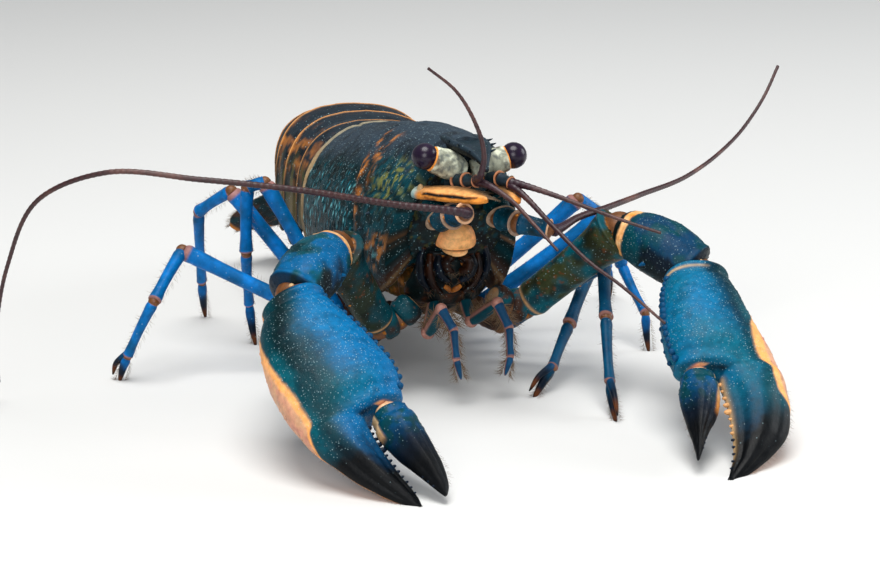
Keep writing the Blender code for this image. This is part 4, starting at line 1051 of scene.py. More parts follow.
def tergite_rings(k, shares):
    """Rings of an abdomen plate at shares from joint to joint."""
    top_a, down_a, across, half_a, depth_a = joint_row(k)
    top_b, down_b, across, half_b, depth_b = joint_row(k + 1)
    rings = []
    for share in shares:
        swell = column(TERGITE_SWELL, share)
        half = (half_a + (half_b - half_a) * share) * swell
        depth = depth_a + (depth_b - depth_a) * share
        down = unit(down_a + (down_b - down_a) * share)
        top = top_a + (top_b - top_a) * share + down * (1 - swell) * depth * 0.8
        flap = FLAP_DROP[k] * column(FLAP_OUTLINE, share)
        section = [(x * half, f * depth) for x, f in FLAP_SECTION]
        section += [(x * half, f * depth + drop * flap) for x, f, drop in FLAP_UNDERSIDE]
        curve = eased(section, TERGITE_POINTS)
        middle = top + down * curve[:, 1:]
        wide = across * curve[:, :1]
        rings.append(np.concatenate([middle - wide, (middle + wide)[-2:0:-1]]))
    return np.array(rings)


def add_segment(k):
    length = np.linalg.norm(joint_row(k + 1)[0] - joint_row(k)[0])
    rear = 1 - GAP / length
    tuck = 0.95 if k == 0 else 0.75
    shares = np.concatenate([np.linspace(-tuck / length, 0.85, 44), np.linspace(0.86, rear, 22)])
    middle_row = len(FLAP_SECTION) + len(FLAP_UNDERSIDE) - 1
    rings = tergite_rings(k, shares)
    share, row = np.meshgrid(shares, both_halves(np.linspace(0, middle_row, TERGITE_POINTS)), indexing="ij")
    outer = step(row, 7.4, 6.8)
    dent = bumps(rings, 1.8, 40 + k, 0.1) - 0.3 * hill(share, 0.24, 0.05) * outer
    dent += 0.14 * hill(share, rear - 0.05, 0.035) * outer
    dent -= 0.25 * hill(row, 5.3, 0.35) * hill(share, 0.6, 0.25)
    rings = swollen(rings, dent * outer)
    share = flat(share, 0, 1)
    row = flat(row, middle_row, middle_row)

    def paint(at, along, around):
        cloud = clouds(at, 2, 50 + k)
        blotches = hill(row, 3.7, 1.1) * patches(at, 1.5, 60 + k, 0.5, 0.72)
        streaks = hill(row, 5, 1) * patches(at * (1, 1, 0.3), 0.8, 65 + k, 0.55, 0.75)
        edge = hill(share, rear - 0.045, 0.028) * (1 - 0.7 * step(row, 3.8, 5.4))
        return laid(
            mix(ink.slate * 0.5, "deep", step(row, 3.2, 5.4) * 0.8),
            ("black", 0.6 * step(cloud, 0.5, 0.9)),
            (mix("rust", "orange", cloud), 0.5 * blotches),
            (ink.olive * 0.8, 0.6 * streaks),
            (mix("olive", "cream", 0.3) * 0.6, 0.6 * hill(row, 6, 0.8) * hill(share, 0.42, 0.2)),
            (mix("orange", "cream", 0.35) * 0.8, 0.95 * edge),
            ("black", 0.7 * step(share, 0.2, 0)),
            (ink.rust * 0.5, step(row, 7.6, 8.6)),
        )

    form = Form("abdomen_plate_%d" % (k + 1))
    form.add(rings, paint, 0.22 * step(row, 7.2, 6.5))
    form.piece("abdomen", "shell", "abdomen_%d" % (k + 1))


def add_swimmerets():
    """Two fringed leaves a side under each middle segment."""
    form = Form("swimmerets")
    seeds = Seeds("swimmeret_fringe")
    halves = ((0, 0.6), (0.3, 1.1), (0.7, 1.2), (0.95, 0.6), (1, 0.3))
    for k in range(1, 5):
        top_a, down_a, across, half, depth_a = joint_row(k)
        top_b, down_b, across, half, depth_b = joint_row(k + 1)
        down = unit(down_a + down_b)
        back = np.cross(across, down)
        base = (top_a + top_b) / 2 + down * ((depth_a + depth_b) / 2 * 0.86)
        paint = banded(ink.rust * 0.8, "deep", ink.orange * 0.6, k)
        leaves = ((4.4, 5.6, 0.3), (7, 4.8, 0.5))
        for side, (x, reach, turn) in itertools.product((RIGHT, LEFT), leaves):
            root = base + across * x * side
            tip = root + down * reach + back * reach * turn + across * side * 0.5
            for edge in add_blade(form, root, tip, across, halves, 0.6, paint):
                seeds.fringe(edge[len(edge) // 2:], tip - root, 16, 1.3, k, 0.3)
    form.piece("skin", "shell")
    seeds.bristles("shell")


class CRAYFISH_OT_abdomen(bpy.types.Operator):
    """Build the six abdomen plates and the swimmerets"""

    bl_idname = "crayfish.abdomen"
    bl_label = "Abdomen"

    def execute(self, context):
        for k in range(len(FLAP_DROP)):
            add_segment(k)
        add_swimmerets()
        return {"FINISHED"}


def add_blade(form, root, tip, across, halves, thick, paint, keel=0, speck=0, rows=40, sides=36):
    """A leaf from root to tip by half widths. Gives its two edges."""
    root = np.asarray(root, float)
    tip = np.asarray(tip, float)
    along = unit(tip - root)
    across = unit(np.asarray(across, float) - along * np.dot(across, along))
    shares = slowed(rows)
    widths = table(halves, shares)
    inner = widths[:, :1]
    outer = widths[:, -1:]
    a, b = oval(sides)
    half = thick / 2 * (1 - 0.45 * shares)[:, None] * np.sign(b) * np.abs(b) ** 0.7
    half = half + keel * hill(a, 0, 0.16) * (b > 0) * np.sin(np.pi * np.clip(shares * 1.1, 0, 1))[:, None]
    reach = np.where(a > 0, outer, inner) * a
    centre = root + (tip - root) * shares[:, None]
    rings = centre[:, None] + across * reach[..., None] + np.cross(across, along) * half[..., None]
    form.add(rings, paint, speck, along=shares)
    return centre + across * outer, centre - across * inner


TAIL_ALONG = unit(np.subtract(TAIL_TIP, TAIL_ROOT))
TAIL_ACROSS = SIDE - TAIL_ALONG * np.dot(SIDE, TAIL_ALONG)
TAIL_UNDER = np.cross(TAIL_ALONG, TAIL_ACROSS)


def add_stub(form, side):
    """The short article that carries both leaves of one side."""
    root = TAIL_ROOT + TAIL_ACROSS * side * 4.3 + TAIL_UNDER * 2.2
    turn = unit(TAIL_ALONG + TAIL_ACROSS * side * 0.5)
    paint = banded(ink.slate * 0.5, "deep", ink.orange * 0.7, 77, 1.5, 0.8)
    add_article(form, root - turn * 2.6, root + turn * 1.7, (1.7, 1.9), TAIL_ACROSS, paint, BARREL, 0.9,
                40, 50)


def add_leaf(seeds, node, x_root, x_tip, drop, length, halves, thick, keel):
    """One leaf of the fan, with a fringe along its rear half."""
    early = TAIL_TUCK / length
    halves = [((share + early) / (1 + early) if share else 0, *wide) for share, *wide in halves]
    reach = unit(TAIL_ALONG * length + TAIL_ACROSS * (x_tip - x_root))
    root = TAIL_ROOT + TAIL_ACROSS * x_root + TAIL_UNDER * drop - reach * TAIL_TUCK
    length = length + TAIL_TUCK

    def paint(at, along, around):
        return laid(
            mix(ink.slate * 0.45, "deep", clouds(at, 2, 71)),
            (ink.teal * 0.5, 0.5 * patches(at, 0.8, 74, 0.5, 0.8)),
            ("rust", 0.35 * patches(at, 1.2, 73, 0.55, 0.8)),
            ("black", 0.6 * hill(along, 0.66, 0.02)),
            (ink.orange * 0.7, 0.8 * step(along, 0.94, 0.99)),
        )

    form = Form(node + "_leaf")
    tip = root + reach * length
    edges = add_blade(form, root, tip, TAIL_ACROSS, halves, thick, paint, keel, 0.15, 90, 64)
    form.piece("abdomen", "shell", node)
    for edge in edges:
        rear = edge[int(len(edge) * 0.45):]
        out = rear - root + reach * length * 0.4
        seeds.fringe(rear, out, 90, 1.1, len(node), 0.12)


class CRAYFISH_OT_tail_fan(bpy.types.Operator):
    """Build the telson and the four leaves beside it"""

    bl_idname = "crayfish.tail_fan"
    bl_label = "Tail Fan"

    def execute(self, context):
        seeds = Seeds("tail_fringe")
        add_leaf(seeds, "telson", 0, 0, 0, 14.4, TELSON_WIDTH, 1.6, 0.12)
        stubs = Form("tail_stubs")
        for side, mark in SIDES:
            halves = [(t, a, b) if side == LEFT else (t, b, a) for t, a, b in UROPOD_WIDTH]
            add_leaf(seeds, "uropod_inner_" + mark, side * 3.6, side * 9.8, 1.5, 13.6, halves, 1.1, 0.3)
            add_leaf(seeds, "uropod_outer_" + mark, side * 5.2, side * 18, 2.9, 14.6, halves, 1.1, 0.3)
            add_stub(stubs, side)
        root_skin = TAIL_ROOT - TAIL_ALONG * 0.4 + TAIL_UNDER * 0.5
        add_ball(stubs, root_skin, 1.3, ink.deep, (2.9, 1.5, 1), 40, 24)
        stubs.piece("abdomen", "shell")
        seeds.bristles("shell")
        return {"FINISHED"}


def head_point(x, share, out):
    """Points on the slanting front of the head, or out before it."""
    first, top, low_s, low = SHELL_LINES[0]
    slope_s, slope_h = unit((low_s - first, low - top))
    return body(first + (low_s - first) * share + slope_h * out, x, top + (low - top) * share - slope_s * out)


def add_face(form):
    """The plate that carries the feelers, between the cheeks."""
    share = np.linspace(0.2, 0.8, 70)[:, None]
    half = column(((0.2, 4.2), (0.3, 5.4), (0.45, 6.4), (0.6, 6.9), (0.72, 6.7), (0.8, 5.6)), share)
    angle = np.linspace(0, math.pi, 56)
    x = np.concatenate([np.cos(angle) * 0.96, [-0.9, -0.45, 0.45, 0.9]])
    out = np.concatenate([0.5 + np.sin(angle) ** 0.8, [GAP] * 4])
    out = out + 0.25 * hill(x, 0, 0.12) * (out > GAP)
    rings = head_point(x * half, share, out)
    lump = bumps(rings, 1.8, 90, 0.5) + 0.25 * step(grains(rings, 0.9, 92), 0.3, 1)

    def paint(at, along, around):
        return laid(
            mix(ink.deep * 0.6, "black", patches(at, 1.6, 94, 0.3, 0.6)),
            (ink.olive * 0.5, 0.5 * patches(at, 0.7, 96, 0.66, 0.8)),
            (ink.teal * 0.5, 0.6 * patches(at, 0.9, 97, 0.66, 0.8)),
        )

    form.add(swollen(rings, lump * (out > GAP + 0.1)), paint, 0.3)


def add_shield(form):
    """The orange shield over the mouth, and the pale lip under it."""
    a, b = oval(56, 2.3)
    front = np.maximum(b, -0.2)
    share = np.concatenate([np.linspace(0.545, 0.69, 34), np.linspace(0.695, 0.712, 6)])[:, None]
    half = column(SHIELD_HALF, share)
    out = column(SHIELD_OUT, share)

    def shield(at, along, around):
        edge = np.abs(np.cos(2 * math.pi * around))
        ends = np.maximum(0.7 * step(along, 0.1, 0), step(along, 0.9, 0.97))
        return laid(
            mix("orange", "cream", 0.4 + 0.3 * clouds(at, 2.2, 101)) * 1.15,
            (mix("orange", "pink", 0.4), 0.7 * step(edge, 0.35, 0.95)),
            ("rust", ends),
        )

    form.add(head_point(a * half, share, 0.9 + (out - 0.9) * front), shield)
    share = np.linspace(0.714, 0.742, 18)[:, None]
    half = column(((0.714, 1.7), (0.73, 1.85), (0.742, 1.4)), share)
    out = 2.0 + 0.4 * np.sin(np.linspace(0.3, 2.8, 18))[:, None]
    form.add(head_point(a * half, share, 0.9 + out * front), mix("cream", "orange", 0.35))


def add_jaws(form):
    """Two rounded jaws under the lip, brown with dark biting edges."""
    a, b = oval(34)
    share = np.linspace(0.74, 0.87, 26)[:, None]
    half = 1.7 * np.sin(np.linspace(0.25, 2.9, 26))[:, None] ** 0.6

    def jaw(at, along, around):
        brown = mix(ink.rust * 0.4, ink.orange * 0.4, patches(at, 0.7, 107, 0.55, 0.8))
        return mix(brown, "black", patches(at, 0.9, 109, 0.4, 0.6))

    for side in (RIGHT, LEFT):
        rings = head_point(side * 1.75 + a * half, share, 1.0 + half * np.maximum(b, -0.3))
        form.add(swollen(rings, bumps(rings, 0.8, 105, 0.2)), jaw, 0.1)


def add_palps():
    """Palps and inner mouth legs over the dark mouth, with bristles."""
    form = Form("mouth_palps")
    seeds = Seeds("mouth_fringe")
    path = eased_path([head_point(0, 0.74, 0.4), head_point(0, 0.95, 0.6), body(13.6, 0, -21.6)], 40)
    wide = column(((0, 3.8), (0.3, 5.2), (0.7, 5.6), (1, 3.4)), np.linspace(0, 1, 40))
    rings = tube(path, wide, 1.9, SIDE, 48)

    def dark(at, along, around):
        colour = mix("black", ink.deep * 0.7, clouds(at, 1.3, 113))
        return mix(colour, ink.rust * 0.5, 0.7 * patches(at, 1, 115, 0.6, 0.8))

    form.add(swollen(rings, bumps(rings, 1.2, 111, 0.5)), dark, 0.1)
    for side, (k, row) in itertools.product((RIGHT, LEFT), enumerate(PALPS)):
        path = eased_path([head_point(side * x, share, out) for x, share, out in row], 40)
        radius = (1.05 - 0.06 * k) * np.sin(np.linspace(0.5, 2.85, 40)) ** 0.5
        rings = tube(path, radius, radius * 0.6, np.cross(SIDE, UP), 20)
        base = ink.navy if k % 2 else ink.rust * 0.16
        paint = banded(base, "black", ink.rust * 0.35, k, 1.2)
        form.add(swollen(rings, bumps(rings, 0.7, k, 0.14)), paint, 0.2)
        aims = np.gradient(path, axis=0) + (-side * 0.05, -0.1, -0.14)
        seeds.fringe(path[8:], aims[8:], 46, 1.3, 110 + k, 0.35, 0.8)
        if k == len(PALPS) - 1:
            prong = ((0.1, 0.98, 2.9), (0.5, 0.95, 3.6), (1.25, 0.93, 3.5))
            path = eased_path([head_point(side * x - 0.3, share, out) for x, share, out in prong], 24)
            width = 0.38 * np.sin(np.linspace(0.5, 2.7, 24)) ** 0.5
            paint = banded(ink.orange * 0.9, "rust", "orange")
            form.add(tube(path, width, width * 0.7, UP, 16), paint)
    form.piece("face", "face")
    seeds.bristles("face")


class CRAYFISH_OT_head(bpy.types.Operator):
    """Build the face plate, the mouth shield, the jaws and the small mouth legs"""

    bl_idname = "crayfish.head"
    bl_label = "Head"

    def execute(self, context):
        form = Form("face_plate")
        add_face(form)
        add_shield(form)
        add_jaws(form)
        form.piece("face", "face", "head")
        add_palps()
        return {"FINISHED"}


def add_eye(side, mark):
    centre = body(0, side * EYE_SPREAD, 0)
    axis = unit(centre - body(1.2, side * 3.9, -1.2) + BACK * -0.6)
    tilt = np.linspace(-1.35, 1.57, 40)[:-1]
    path = centre + axis * (np.sin(tilt) * EYE_RADIUS)[:, None]
    radius = np.cos(tilt) * EYE_RADIUS

    def paint(at, along, around):
        height = np.dot(at - centre, axis) / EYE_RADIUS
        return laid(
            mix("eye", "black", 0.5 * grains(at, 0.16, 121)),
            (ink.eye * 2.2, 0.4 * clouds(at, 1.2, 123)),
            ("orange", step(height, -0.58, -0.64)),
        )

    form = Form("eyeball_" + mark)
    form.add(tube(path, radius, radius, UP, 56), paint, last=centre + axis * EYE_RADIUS)
    form.piece("eye", "eye", "eye_" + mark)


def add_stalk(form, side):
    """The broad, mottled stalk from under the rostrum to the eye."""
    root = body(0.6, side * 0.6, -1.9)
    shares = np.linspace(0, 0.88, 60)
    path = root + (body(0, side * EYE_SPREAD, 0) - root) * shares[:, None]
    radius = column(((0, 1.2), (0.2, 1.75), (0.45, 2), (0.65, 1.85), (0.8, 1.75), (0.88, 1.45)), shares)
    rings = tube(path, radius, radius * 0.95, UP, 56)
    base = mix("cream", "pale_teal", 0.5) * 1.15

    def paint(at, along, around):
        return laid(
            mix(base * 0.6, base * 1.15, patches(at, 0.9, 127, 0.35, 0.7)),
            ("slate", 0.6 * patches(at, 0.5, 129, 0.5, 0.75)),
            (ink.rust * 0.6, 0.7 * patches(at, 1.3, 130, 0.66, 0.85)),
            ("orange", step(along, 0.915, 0.93)),
        )

    form.add(swollen(rings, bumps(rings, 0.9, 125, 0.12)), paint, 0.15)


class CRAYFISH_OT_eyes(bpy.types.Operator):
    """Build both eyes, their stalks and their orange rims"""

    bl_idname = "crayfish.eyes"
    bl_label = "Eyes"

    def execute(self, context):
        stalks = Form("eye_stalks")
        for side, mark in SIDES:
            add_eye(side, mark)
            add_stalk(stalks, side)
        stalks.piece("face", "face")
        return {"FINISHED"}


def add_scale(seeds, side, mark):
    root, tip = np.array(SCALE_BLADE[side])

    def paint(at, along, around):
        edge = np.cos(2 * math.pi * around)
        line = root + (tip - root) * along[:, None]
        rise = at[:, 2] - line[:, 2] + bumps(at, 1.4, 132, 0.15)
        slit = hill(rise, 0.1, 0.16) * step(along, 0.14, 0.2) * step(along, 0.9, 0.7)
        return laid(
            mix(ink.orange * 0.75, ink.rust * 1.2, patches(at, 1.3, 131, 0.5, 0.8)),
            (mix(ink.orange * 1.1, "cream", 0.4), step(rise, 0.2, 0.4)),
            ("black", 1.4 * slit),
            ("pale_teal", 0.7 * step(along, 0.12, 0.03)),
            ("deep", 0.75 * step(-edge, 0.1, 0.7)),
        )

    form = Form("antenna_leaf_" + mark)
    across = (side, 0, -0.35)
    edges = add_blade(form, root, tip, across, SCALE_WIDTH, 1.3, paint, 0.1, 0.1, 70, 64)
    knob = root + (tip - root) * 0.05 + (0, -0.4, 0.15)
    add_ball(form, knob, 0.6, ink.cream * 0.6, (0.9, 0.9, 1.8), 24, 16)
    form.piece("face", "face", "scale_" + mark)
    inner = edges[1][12:-4]
    aims = np.array((-side * 0.7, -0.75, 0)) + 0 * inner
    seeds.fringe(inner, aims, 70, 1.6, 133, 0.12, 0.9)


class CRAYFISH_OT_scales(bpy.types.Operator):
    """Build the leaf beside each antenna, with its thick outer edge and fringe"""

    bl_idname = "crayfish.scales"
    bl_label = "Scales"

    def execute(self, context):
        seeds = Seeds("scale_fringe")
        for side, mark in SIDES:
            add_scale(seeds, side, mark)
        seeds.bristles("face")
        return {"FINISHED"}


def feeler_piece(name, whips, node):
    """Whips as one piece. Each is its points, its thick and thin radius."""
    spacing = bpy.context.scene.crayfish_sizes.ring_length / RING_POINTS
    points = []
    edges = []
    radii = []
    paints = []
    for line, thick, thin in whips:
        reach = np.sum(np.linalg.norm(np.diff(np.array(line, float), axis=0), axis=1))
        count = RING_POINTS * max(int(reach / spacing / RING_POINTS), 4) + 1
        path = eased_path(line, count)
        share = np.linspace(0, 1, count)
        start = sum(len(p) for p in points)
        edges += [(start + i, start + i + 1) for i in range(count - 1)]
        points.append(path)
        radii.append(thin + (thick - thin) * (1 - share) ** 1.3 + thick * 0.7 * np.exp(-share * reach / 2.2))
        paints.append(laid(
            mix("feeler", ink.feeler * 0.45, 0.8 * (np.arange(count) % RING_POINTS == 0)),
            (ink.pink * 0.4, 0.25 * step(noise(path, 3, 141), 0.5, 0.9)),
            (ink.eye * 1.4, 0.6 * np.exp(-share * reach / 5)),
        ))
    mesh = bpy.data.meshes.new(name + "_line")
    mesh.from_pydata(placed(np.concatenate(points)).tolist(), edges, [])
    keep(mesh, "size", "FLOAT", np.concatenate(radii) * MM)
    keep(mesh, "paint", "FLOAT_COLOR", np.concatenate(paints))
    whole = grown(mesh, "feelers", "feeler")
    outward(whole)
    finished(name, whole, "feeler", "feeler", node)


class Limbs:
    """Jointed limbs: skin and knobs of their joints, and bristles."""

    def __init__(self, name):
        self.skin = Form(name + "_joint_skin")
        self.knobs = Seeds(name + "_knobs")
        self.hairs = Seeds(name + "_bristles")

    def joint(self, place, radius, across, colour, skin=None):
        """Soft skin in a joint, and the pale knob that it turns on at either side."""
        add_ball(self.skin, place, radius * 0.9, mix("rust", "orange", 0.3) * 0.4 if skin is None else skin)
        for way in (-1, 1):
            at = place + across * radius * 0.86 * way
            self.knobs.add(at, across * radius * 0.16 * way, radius * 0.16, colour * 0.7)

    def article(self, form, start, end, radii, across, paint, bristles=0, length=0.8, **shape):
        """An article, with bristles in two rows along it."""
        add_article(form, start, end, radii, across, paint, **shape)
        if bristles:
            along = unit(end - start)
            lift = unit(np.cross(along, across))
            shares = np.linspace(0.15, 0.95, 12)[:, None]
            width = radii[0] + (radii[1] - radii[0]) * shares
            for way in (-1, 1):
                roots = start + (end - start) * shares + lift * width * 0.85 * way
                aim = lift * way + along * 0.9
                self.hairs.fringe(roots, aim, bristles, length, bristles, 0.3)

    def pieces(self, slot):
        self.skin.piece("skin", slot)
        if self.knobs.rows:
            self.knobs.piece("beads", "face", slot)
        if self.hairs.rows:
            self.hairs.bristles(slot)


def add_small_feeler(limbs, side, mark):
    """The small feeler: three short base articles and two whips."""
    chain = np.array([head_point(side * 2.2, 0.27, FACE_OUT), *FEELER_BASE[side]])
    across = bend_normal(chain)
    rim = mix("orange", "pink", 0.5)
    form = Form("antennule_stem_" + mark)
    for k, start, end, radii in articles(eased_path(chain, 4), FEELER_THICK):
        paint = banded(ink.slate * 0.8, "deep", rim, k, 0.8, 0.6)
        limbs.article(form, start, end, radii, across, paint, 14, 0.7, sides=30)
    form.piece("face", "face")
    whips = ((FEELER_UP[side], 0.42, 0.2), (FEELER_DOWN[side], 0.42, 0.2))
    feeler_piece("antennule_whips_" + mark, whips, "antennule_" + mark)


def add_feelers(limbs, side, mark):
    chain = np.array([head_point(side * 4.7, 0.4, FACE_OUT), *ANTENNA_BASE[side]])
    across = bend_normal(chain)
    form = Form("antenna_stem_" + mark)
    rim = mix("pink", "cream", 0.6)
    for k, start, end, radii in articles(chain, ANTENNA_THICK):
        teal = mix(ink.teal * 0.75, ink.blue * 0.5, 0.35 * k)
        paint = banded(teal, "deep", rim, k, 1.2, 0.9 if k == 2 else 0.4)
        limbs.article(form, start, end, radii, across, paint, speck=0.35, sides=40)
        joint = end if k < 2 else end - (end - start) * 0.1
        limbs.joint(joint, radii[1], across, ink.orange)
    form.piece("face", "face", "antenna_base_" + mark)
    feeler_piece("antenna_whip_" + mark, ((ANTENNA[side], 0.52, 0.25),), "antenna_" + mark)
    add_small_feeler(limbs, side, mark)


class CRAYFISH_OT_feelers(bpy.types.Operator):
    """Build the antennae and the small forked feelers"""

    bl_idname = "crayfish.feelers"
    bl_label = "Feelers"

    def execute(self, context):
        limbs = Limbs("feeler")
        for side, mark in SIDES:
            add_feelers(limbs, side, mark)
        limbs.pieces("face")
        return {"FINISHED"}


def mouth_leg_paint(colour, rim, seed):
    """Blue along the middle, pinkish-tan along both edges and at the joints."""
    def tinted(at, along, around):
        edge = np.abs(np.sin(2 * math.pi * around))
        ends = at_ends(along, 0.06, 0.02, 0.93, 0.98)
        return laid(
            mix(colour, "navy", 0.5 * clouds(at, 1.6, seed)),
            (rim * 0.8, 0.8 * step(edge, 0.84, 0.96)),
            (rim * 0.8, 0.6 * ends),
        )
    return tinted


def add_mouth_leg(limbs, side, mark):
    rim = mix("pink", "slate", 0.35)
    form = Form("mouth_leg_" + mark)
    chain = np.array(MOUTH_LEG[side], float)
    for k, start, end, radii in articles(chain, MOUTH_LEG_THICK):
        last = k == len(chain) - 2
        across = unit(np.cross(end - start, np.cross(BACK, end - start)))
        colour = mix("blue", "slate", 0.3) * 0.65 if k >= 2 else ink.teal * 0.6
        limbs.article(form, start, end, (radii[0], radii[0]) if last else radii, across,
                      mouth_leg_paint(colour, rim, k), 46, 1.7 if k < 3 else 1.2,
                      profile=LAST_ARTICLE if last else BARREL if k < 2 else ARTICLE, flatness=0.75,
                      rows=60, sides=36)
        if not last:
            limbs.joint(end, radii[1] * 0.95, across, rim, rim * 0.7)
    form.piece("leg", "leg", "maxilliped_" + mark)


class CRAYFISH_OT_mouth_legs(bpy.types.Operator):
    """Build the pair of bristly mouth legs"""

    bl_idname = "crayfish.mouth_legs"
    bl_label = "Mouth Legs"

    def execute(self, context):
        limbs = Limbs("mouth_leg")
        for side, mark in SIDES:
            add_mouth_leg(limbs, side, mark)
        limbs.pieces("leg")
        return {"FINISHED"}


def claw_frame(side):
    """Wrist, and the hand's directions: along, outward and up from its back."""
    wrist, tip = sided([WRIST[side], CLAW_TIP[side]], side)
    along = unit(tip - wrist)
    level = unit(np.cross(along, (0, 0, -side)))
    up = np.cross(along, level) * side
    cos = math.cos(CLAW_ROLL[side])
    sin = -side * math.sin(CLAW_ROLL[side])
    return wrist, along, level * cos - up * sin, up * cos + level * sin


def hand_point(side, place, out, lift):
    """Points of a claw hand: along it, outward and over its middle."""
    wrist, *ways = claw_frame(side)
    for way, reach in zip(ways, (place, out, lift)):
        wrist = wrist + way * np.asarray(reach, float)[..., None]
    return wrist


def arm_paint(side, long):
    """Dark green and teal patches, with a pale ring on the long article."""
    if long:
        base = mix("deep", "olive", 0.12 if side == RIGHT else 0.25)
    else:
        base = mix("rust", "deep", 0.6) * 0.7
    teal = ink.teal * (0.45 if side == RIGHT else 0.85)

    def tinted(at, along, around):
        rims = 0.5 * at_ends(along, 0.04, 0.02, 0.965, 0.985)
        skin = mix("black", ink.orange * 0.3, patches(at, 1.2, 157, 0.45, 0.6))
        return laid(
            mix(base, teal, patches(at, 3, 151, 0.35, 0.65)),
            ("black", 0.6 * patches(at, 2, 153, 0.55, 0.8)),
            ("rust", 0.6 * patches(at, 0.6, 155, 0.78, 0.9)),
            (mix("cream", "orange", 0.4) * 0.8, 0.75 * hill(along, 0.085, 0.014) if long else rims),
            (skin, step(along, 0.99, 0.994)),
        )
    return tinted


def add_arm(limbs, thorns, side, mark):
    chain = sided(ARM[side], side)
    across = bend_normal(chain)
    form = Form("upper_arm_" + mark)
    for k, start, end, radii in articles(chain, ARM_THICK):
        long = k == 2
        limbs.article(form, start, end, radii, across, arm_paint(side, long), speck=0.4, sides=72,
                      rows=110 if long else 60, flatness=0.96, profile=ARTICLE if long else BARREL)
        if not long:
            limbs.joint(end, radii[1] * 0.9, across, ink.orange * 0.5)
    limbs.joint(chain[3], 2.9, across, ink.cream)
    form.piece("claw", "claw", "claw_arm_" + mark)
    along = unit(chain[3] - chain[2])
    under = unit(np.cross(along, across))
    under = under if under[2] < 0 else -under
    for share, way in itertools.product((0.42, 0.58, 0.72, 0.86), (-1, 1)):
        root = chain[2] + (chain[3] - chain[2]) * share + (under + across * 0.7 * way) * 1.55
        aim = (under * 0.7 + across * 0.4 * way + along * 0.6) * 1.2
        thorns.add(root, aim, 0.36, ink.orange * 0.7)


def add_wrist(limbs, thorns, side, mark):
    before, elbow = sided(ARM[side][-2:], side)
    wrist, along, out, up = claw_frame(side)
    start = elbow + unit(unit(elbow - before) + unit(wrist - elbow)) * 0.1
    end = wrist - unit(unit(wrist - elbow) + along) * 0.1
    reach = unit(end - start)
    shares = slowed(90)
    half_side, half_lift = columns(WRIST_SHAPE, shares)
    bulge = column(WRIST_BULGE, shares)
    path = start + (end - start) * shares[:, None] + up * bulge[:, None]
    rings = tube(path, half_side, half_lift, out, 84, 2.15)
    off = (rings - path[:, None]) / half_side[:, None, None]
    high = off @ unit(up - reach * np.dot(up, reach))
    wide = off @ out
    dent = bumps(rings, 1.6, 161, 0.12) + 0.14 * step(grains(rings, 0.85, 163), 0.35, 1)
    dent -= 0.35 * hill(wide, 0.1, 0.12) * (high > 0) * hill(shares[:, None], 0.5, 0.3)
    high = flat(high, 0, 0)
    wide = flat(wide, 0, 0)

    def paint(at, along, around):
        cloud = clouds(at, 2.2, 165)
        if side == RIGHT:
            colour = laid(
                mix(ink.blue * 0.9, ink.teal * 0.7, step(cloud, 0.4, 0.7)),
                ("deep", 0.8 * patches(at, 2.6, 167, 0.55, 0.8)),
                (ink.deep * 0.6, 0.8 * step(wide, 0.2, 0.9)),
            )
        else:
            colour = mix(ink.teal * 0.5, ink.blue * 0.3, step(cloud, 0.35, 0.65))
        near = along + 0.03 * (cloud - 0.5)
        strip = step(-wide + 0.2 * (cloud - 0.5), 0.5, 0.62) * step(along, 0.4, 0.5)
        band = mix("orange", "cream", clouds(at, 1.2, 169))
        return laid(
            colour,
            ("black", 0.7 * step(-high, 0.2, 0.7)),
            (ink.deep * 0.5, step(near, 0.13, 0.11)),
            ("black", 0.85 * strip),
            (ink.orange * 0.9, step(-wide, 0.88, 0.93) * step(along, 0.2, 0.3)),
            ("black", 0.8 * step(along, 0.93, 0.96)),
            (band, step(near, 0.115, 0.13) * step(near, 0.2, 0.185)),
        )

    form = Form("wrist_" + mark)
    near = np.repeat(0.6 * step(shares, 0.9, 0.86) * step(shares, 0.12, 0.2), rings.shape[1])
    form.add(swollen(rings, dent), paint, flat(near, 0, 0), along=shares)
    form.piece("claw", "claw", "claw_wrist_" + mark)
    limbs.joint(wrist, 2.5, unit(np.cross(along, out)), ink.cream)
    thorns.add(path[60] - out * 3.3, -out * 2.3 + along * 1.5, 0.95, ink.blue * 0.6)
    for ring, lean in ((40, 0.5), (70, 0.3)):
        root = path[ring] - out * 3.5 + up * 0.8
        thorns.add(root, -out + along * lean, 0.4, ink.cream * 0.6)


class CRAYFISH_OT_claw_arms(bpy.types.Operator):
    """Build the upper arm and the wrist piece of both claws"""

    bl_idname = "crayfish.claw_arms"
    bl_label = "Claw Arms"

    def execute(self, context):
        limbs = Limbs("claw_arm_joint")
        thorns = Seeds("claw_arm_thorns")
        for side, mark in SIDES:
            add_arm(limbs, thorns, side, mark)
            add_wrist(limbs, thorns, side, mark)
        limbs.pieces("claw")
        thorns.piece("thorns", "claw", "claw")
        return {"FINISHED"}


def finger_bow(place):
    """How far the fixed finger bends down, at a place along the hand."""
    return -0.1 - 0.02 * (place - 15)


def finger_lift(place, last):
    """How far the moving finger rides over the hand's middle plane."""
    return 0.3 + 0.4 * np.maximum(place - last + 6.4, 0) / 6.4


def hand_rings(side, places, outer, inner, half, lift, facet, sides):
    """Rings across the hand, their section round or edged by facet."""
    round_a, round_b = oval(sides, 2.3)
    edged_a, edged_b = oval(sides, 1.55)
    places, outer, inner, half, lift, facet = np.stack([places, outer, inner, half, lift, facet])[..., None]
    a = round_a + (edged_a - round_a) * facet
    b = round_b + (edged_b - round_b) * facet
    return hand_point(side, places, (outer + inner) / 2 + (outer - inner) / 2 * a, lift + half * b)


def beside(around, middle, width):
    """A smooth hill round a place on a ring, places running from 0 to 1."""
    off = np.abs((around - middle + 0.5) % 1.0 - 0.5)
    return np.exp(-(off / width) ** 2)


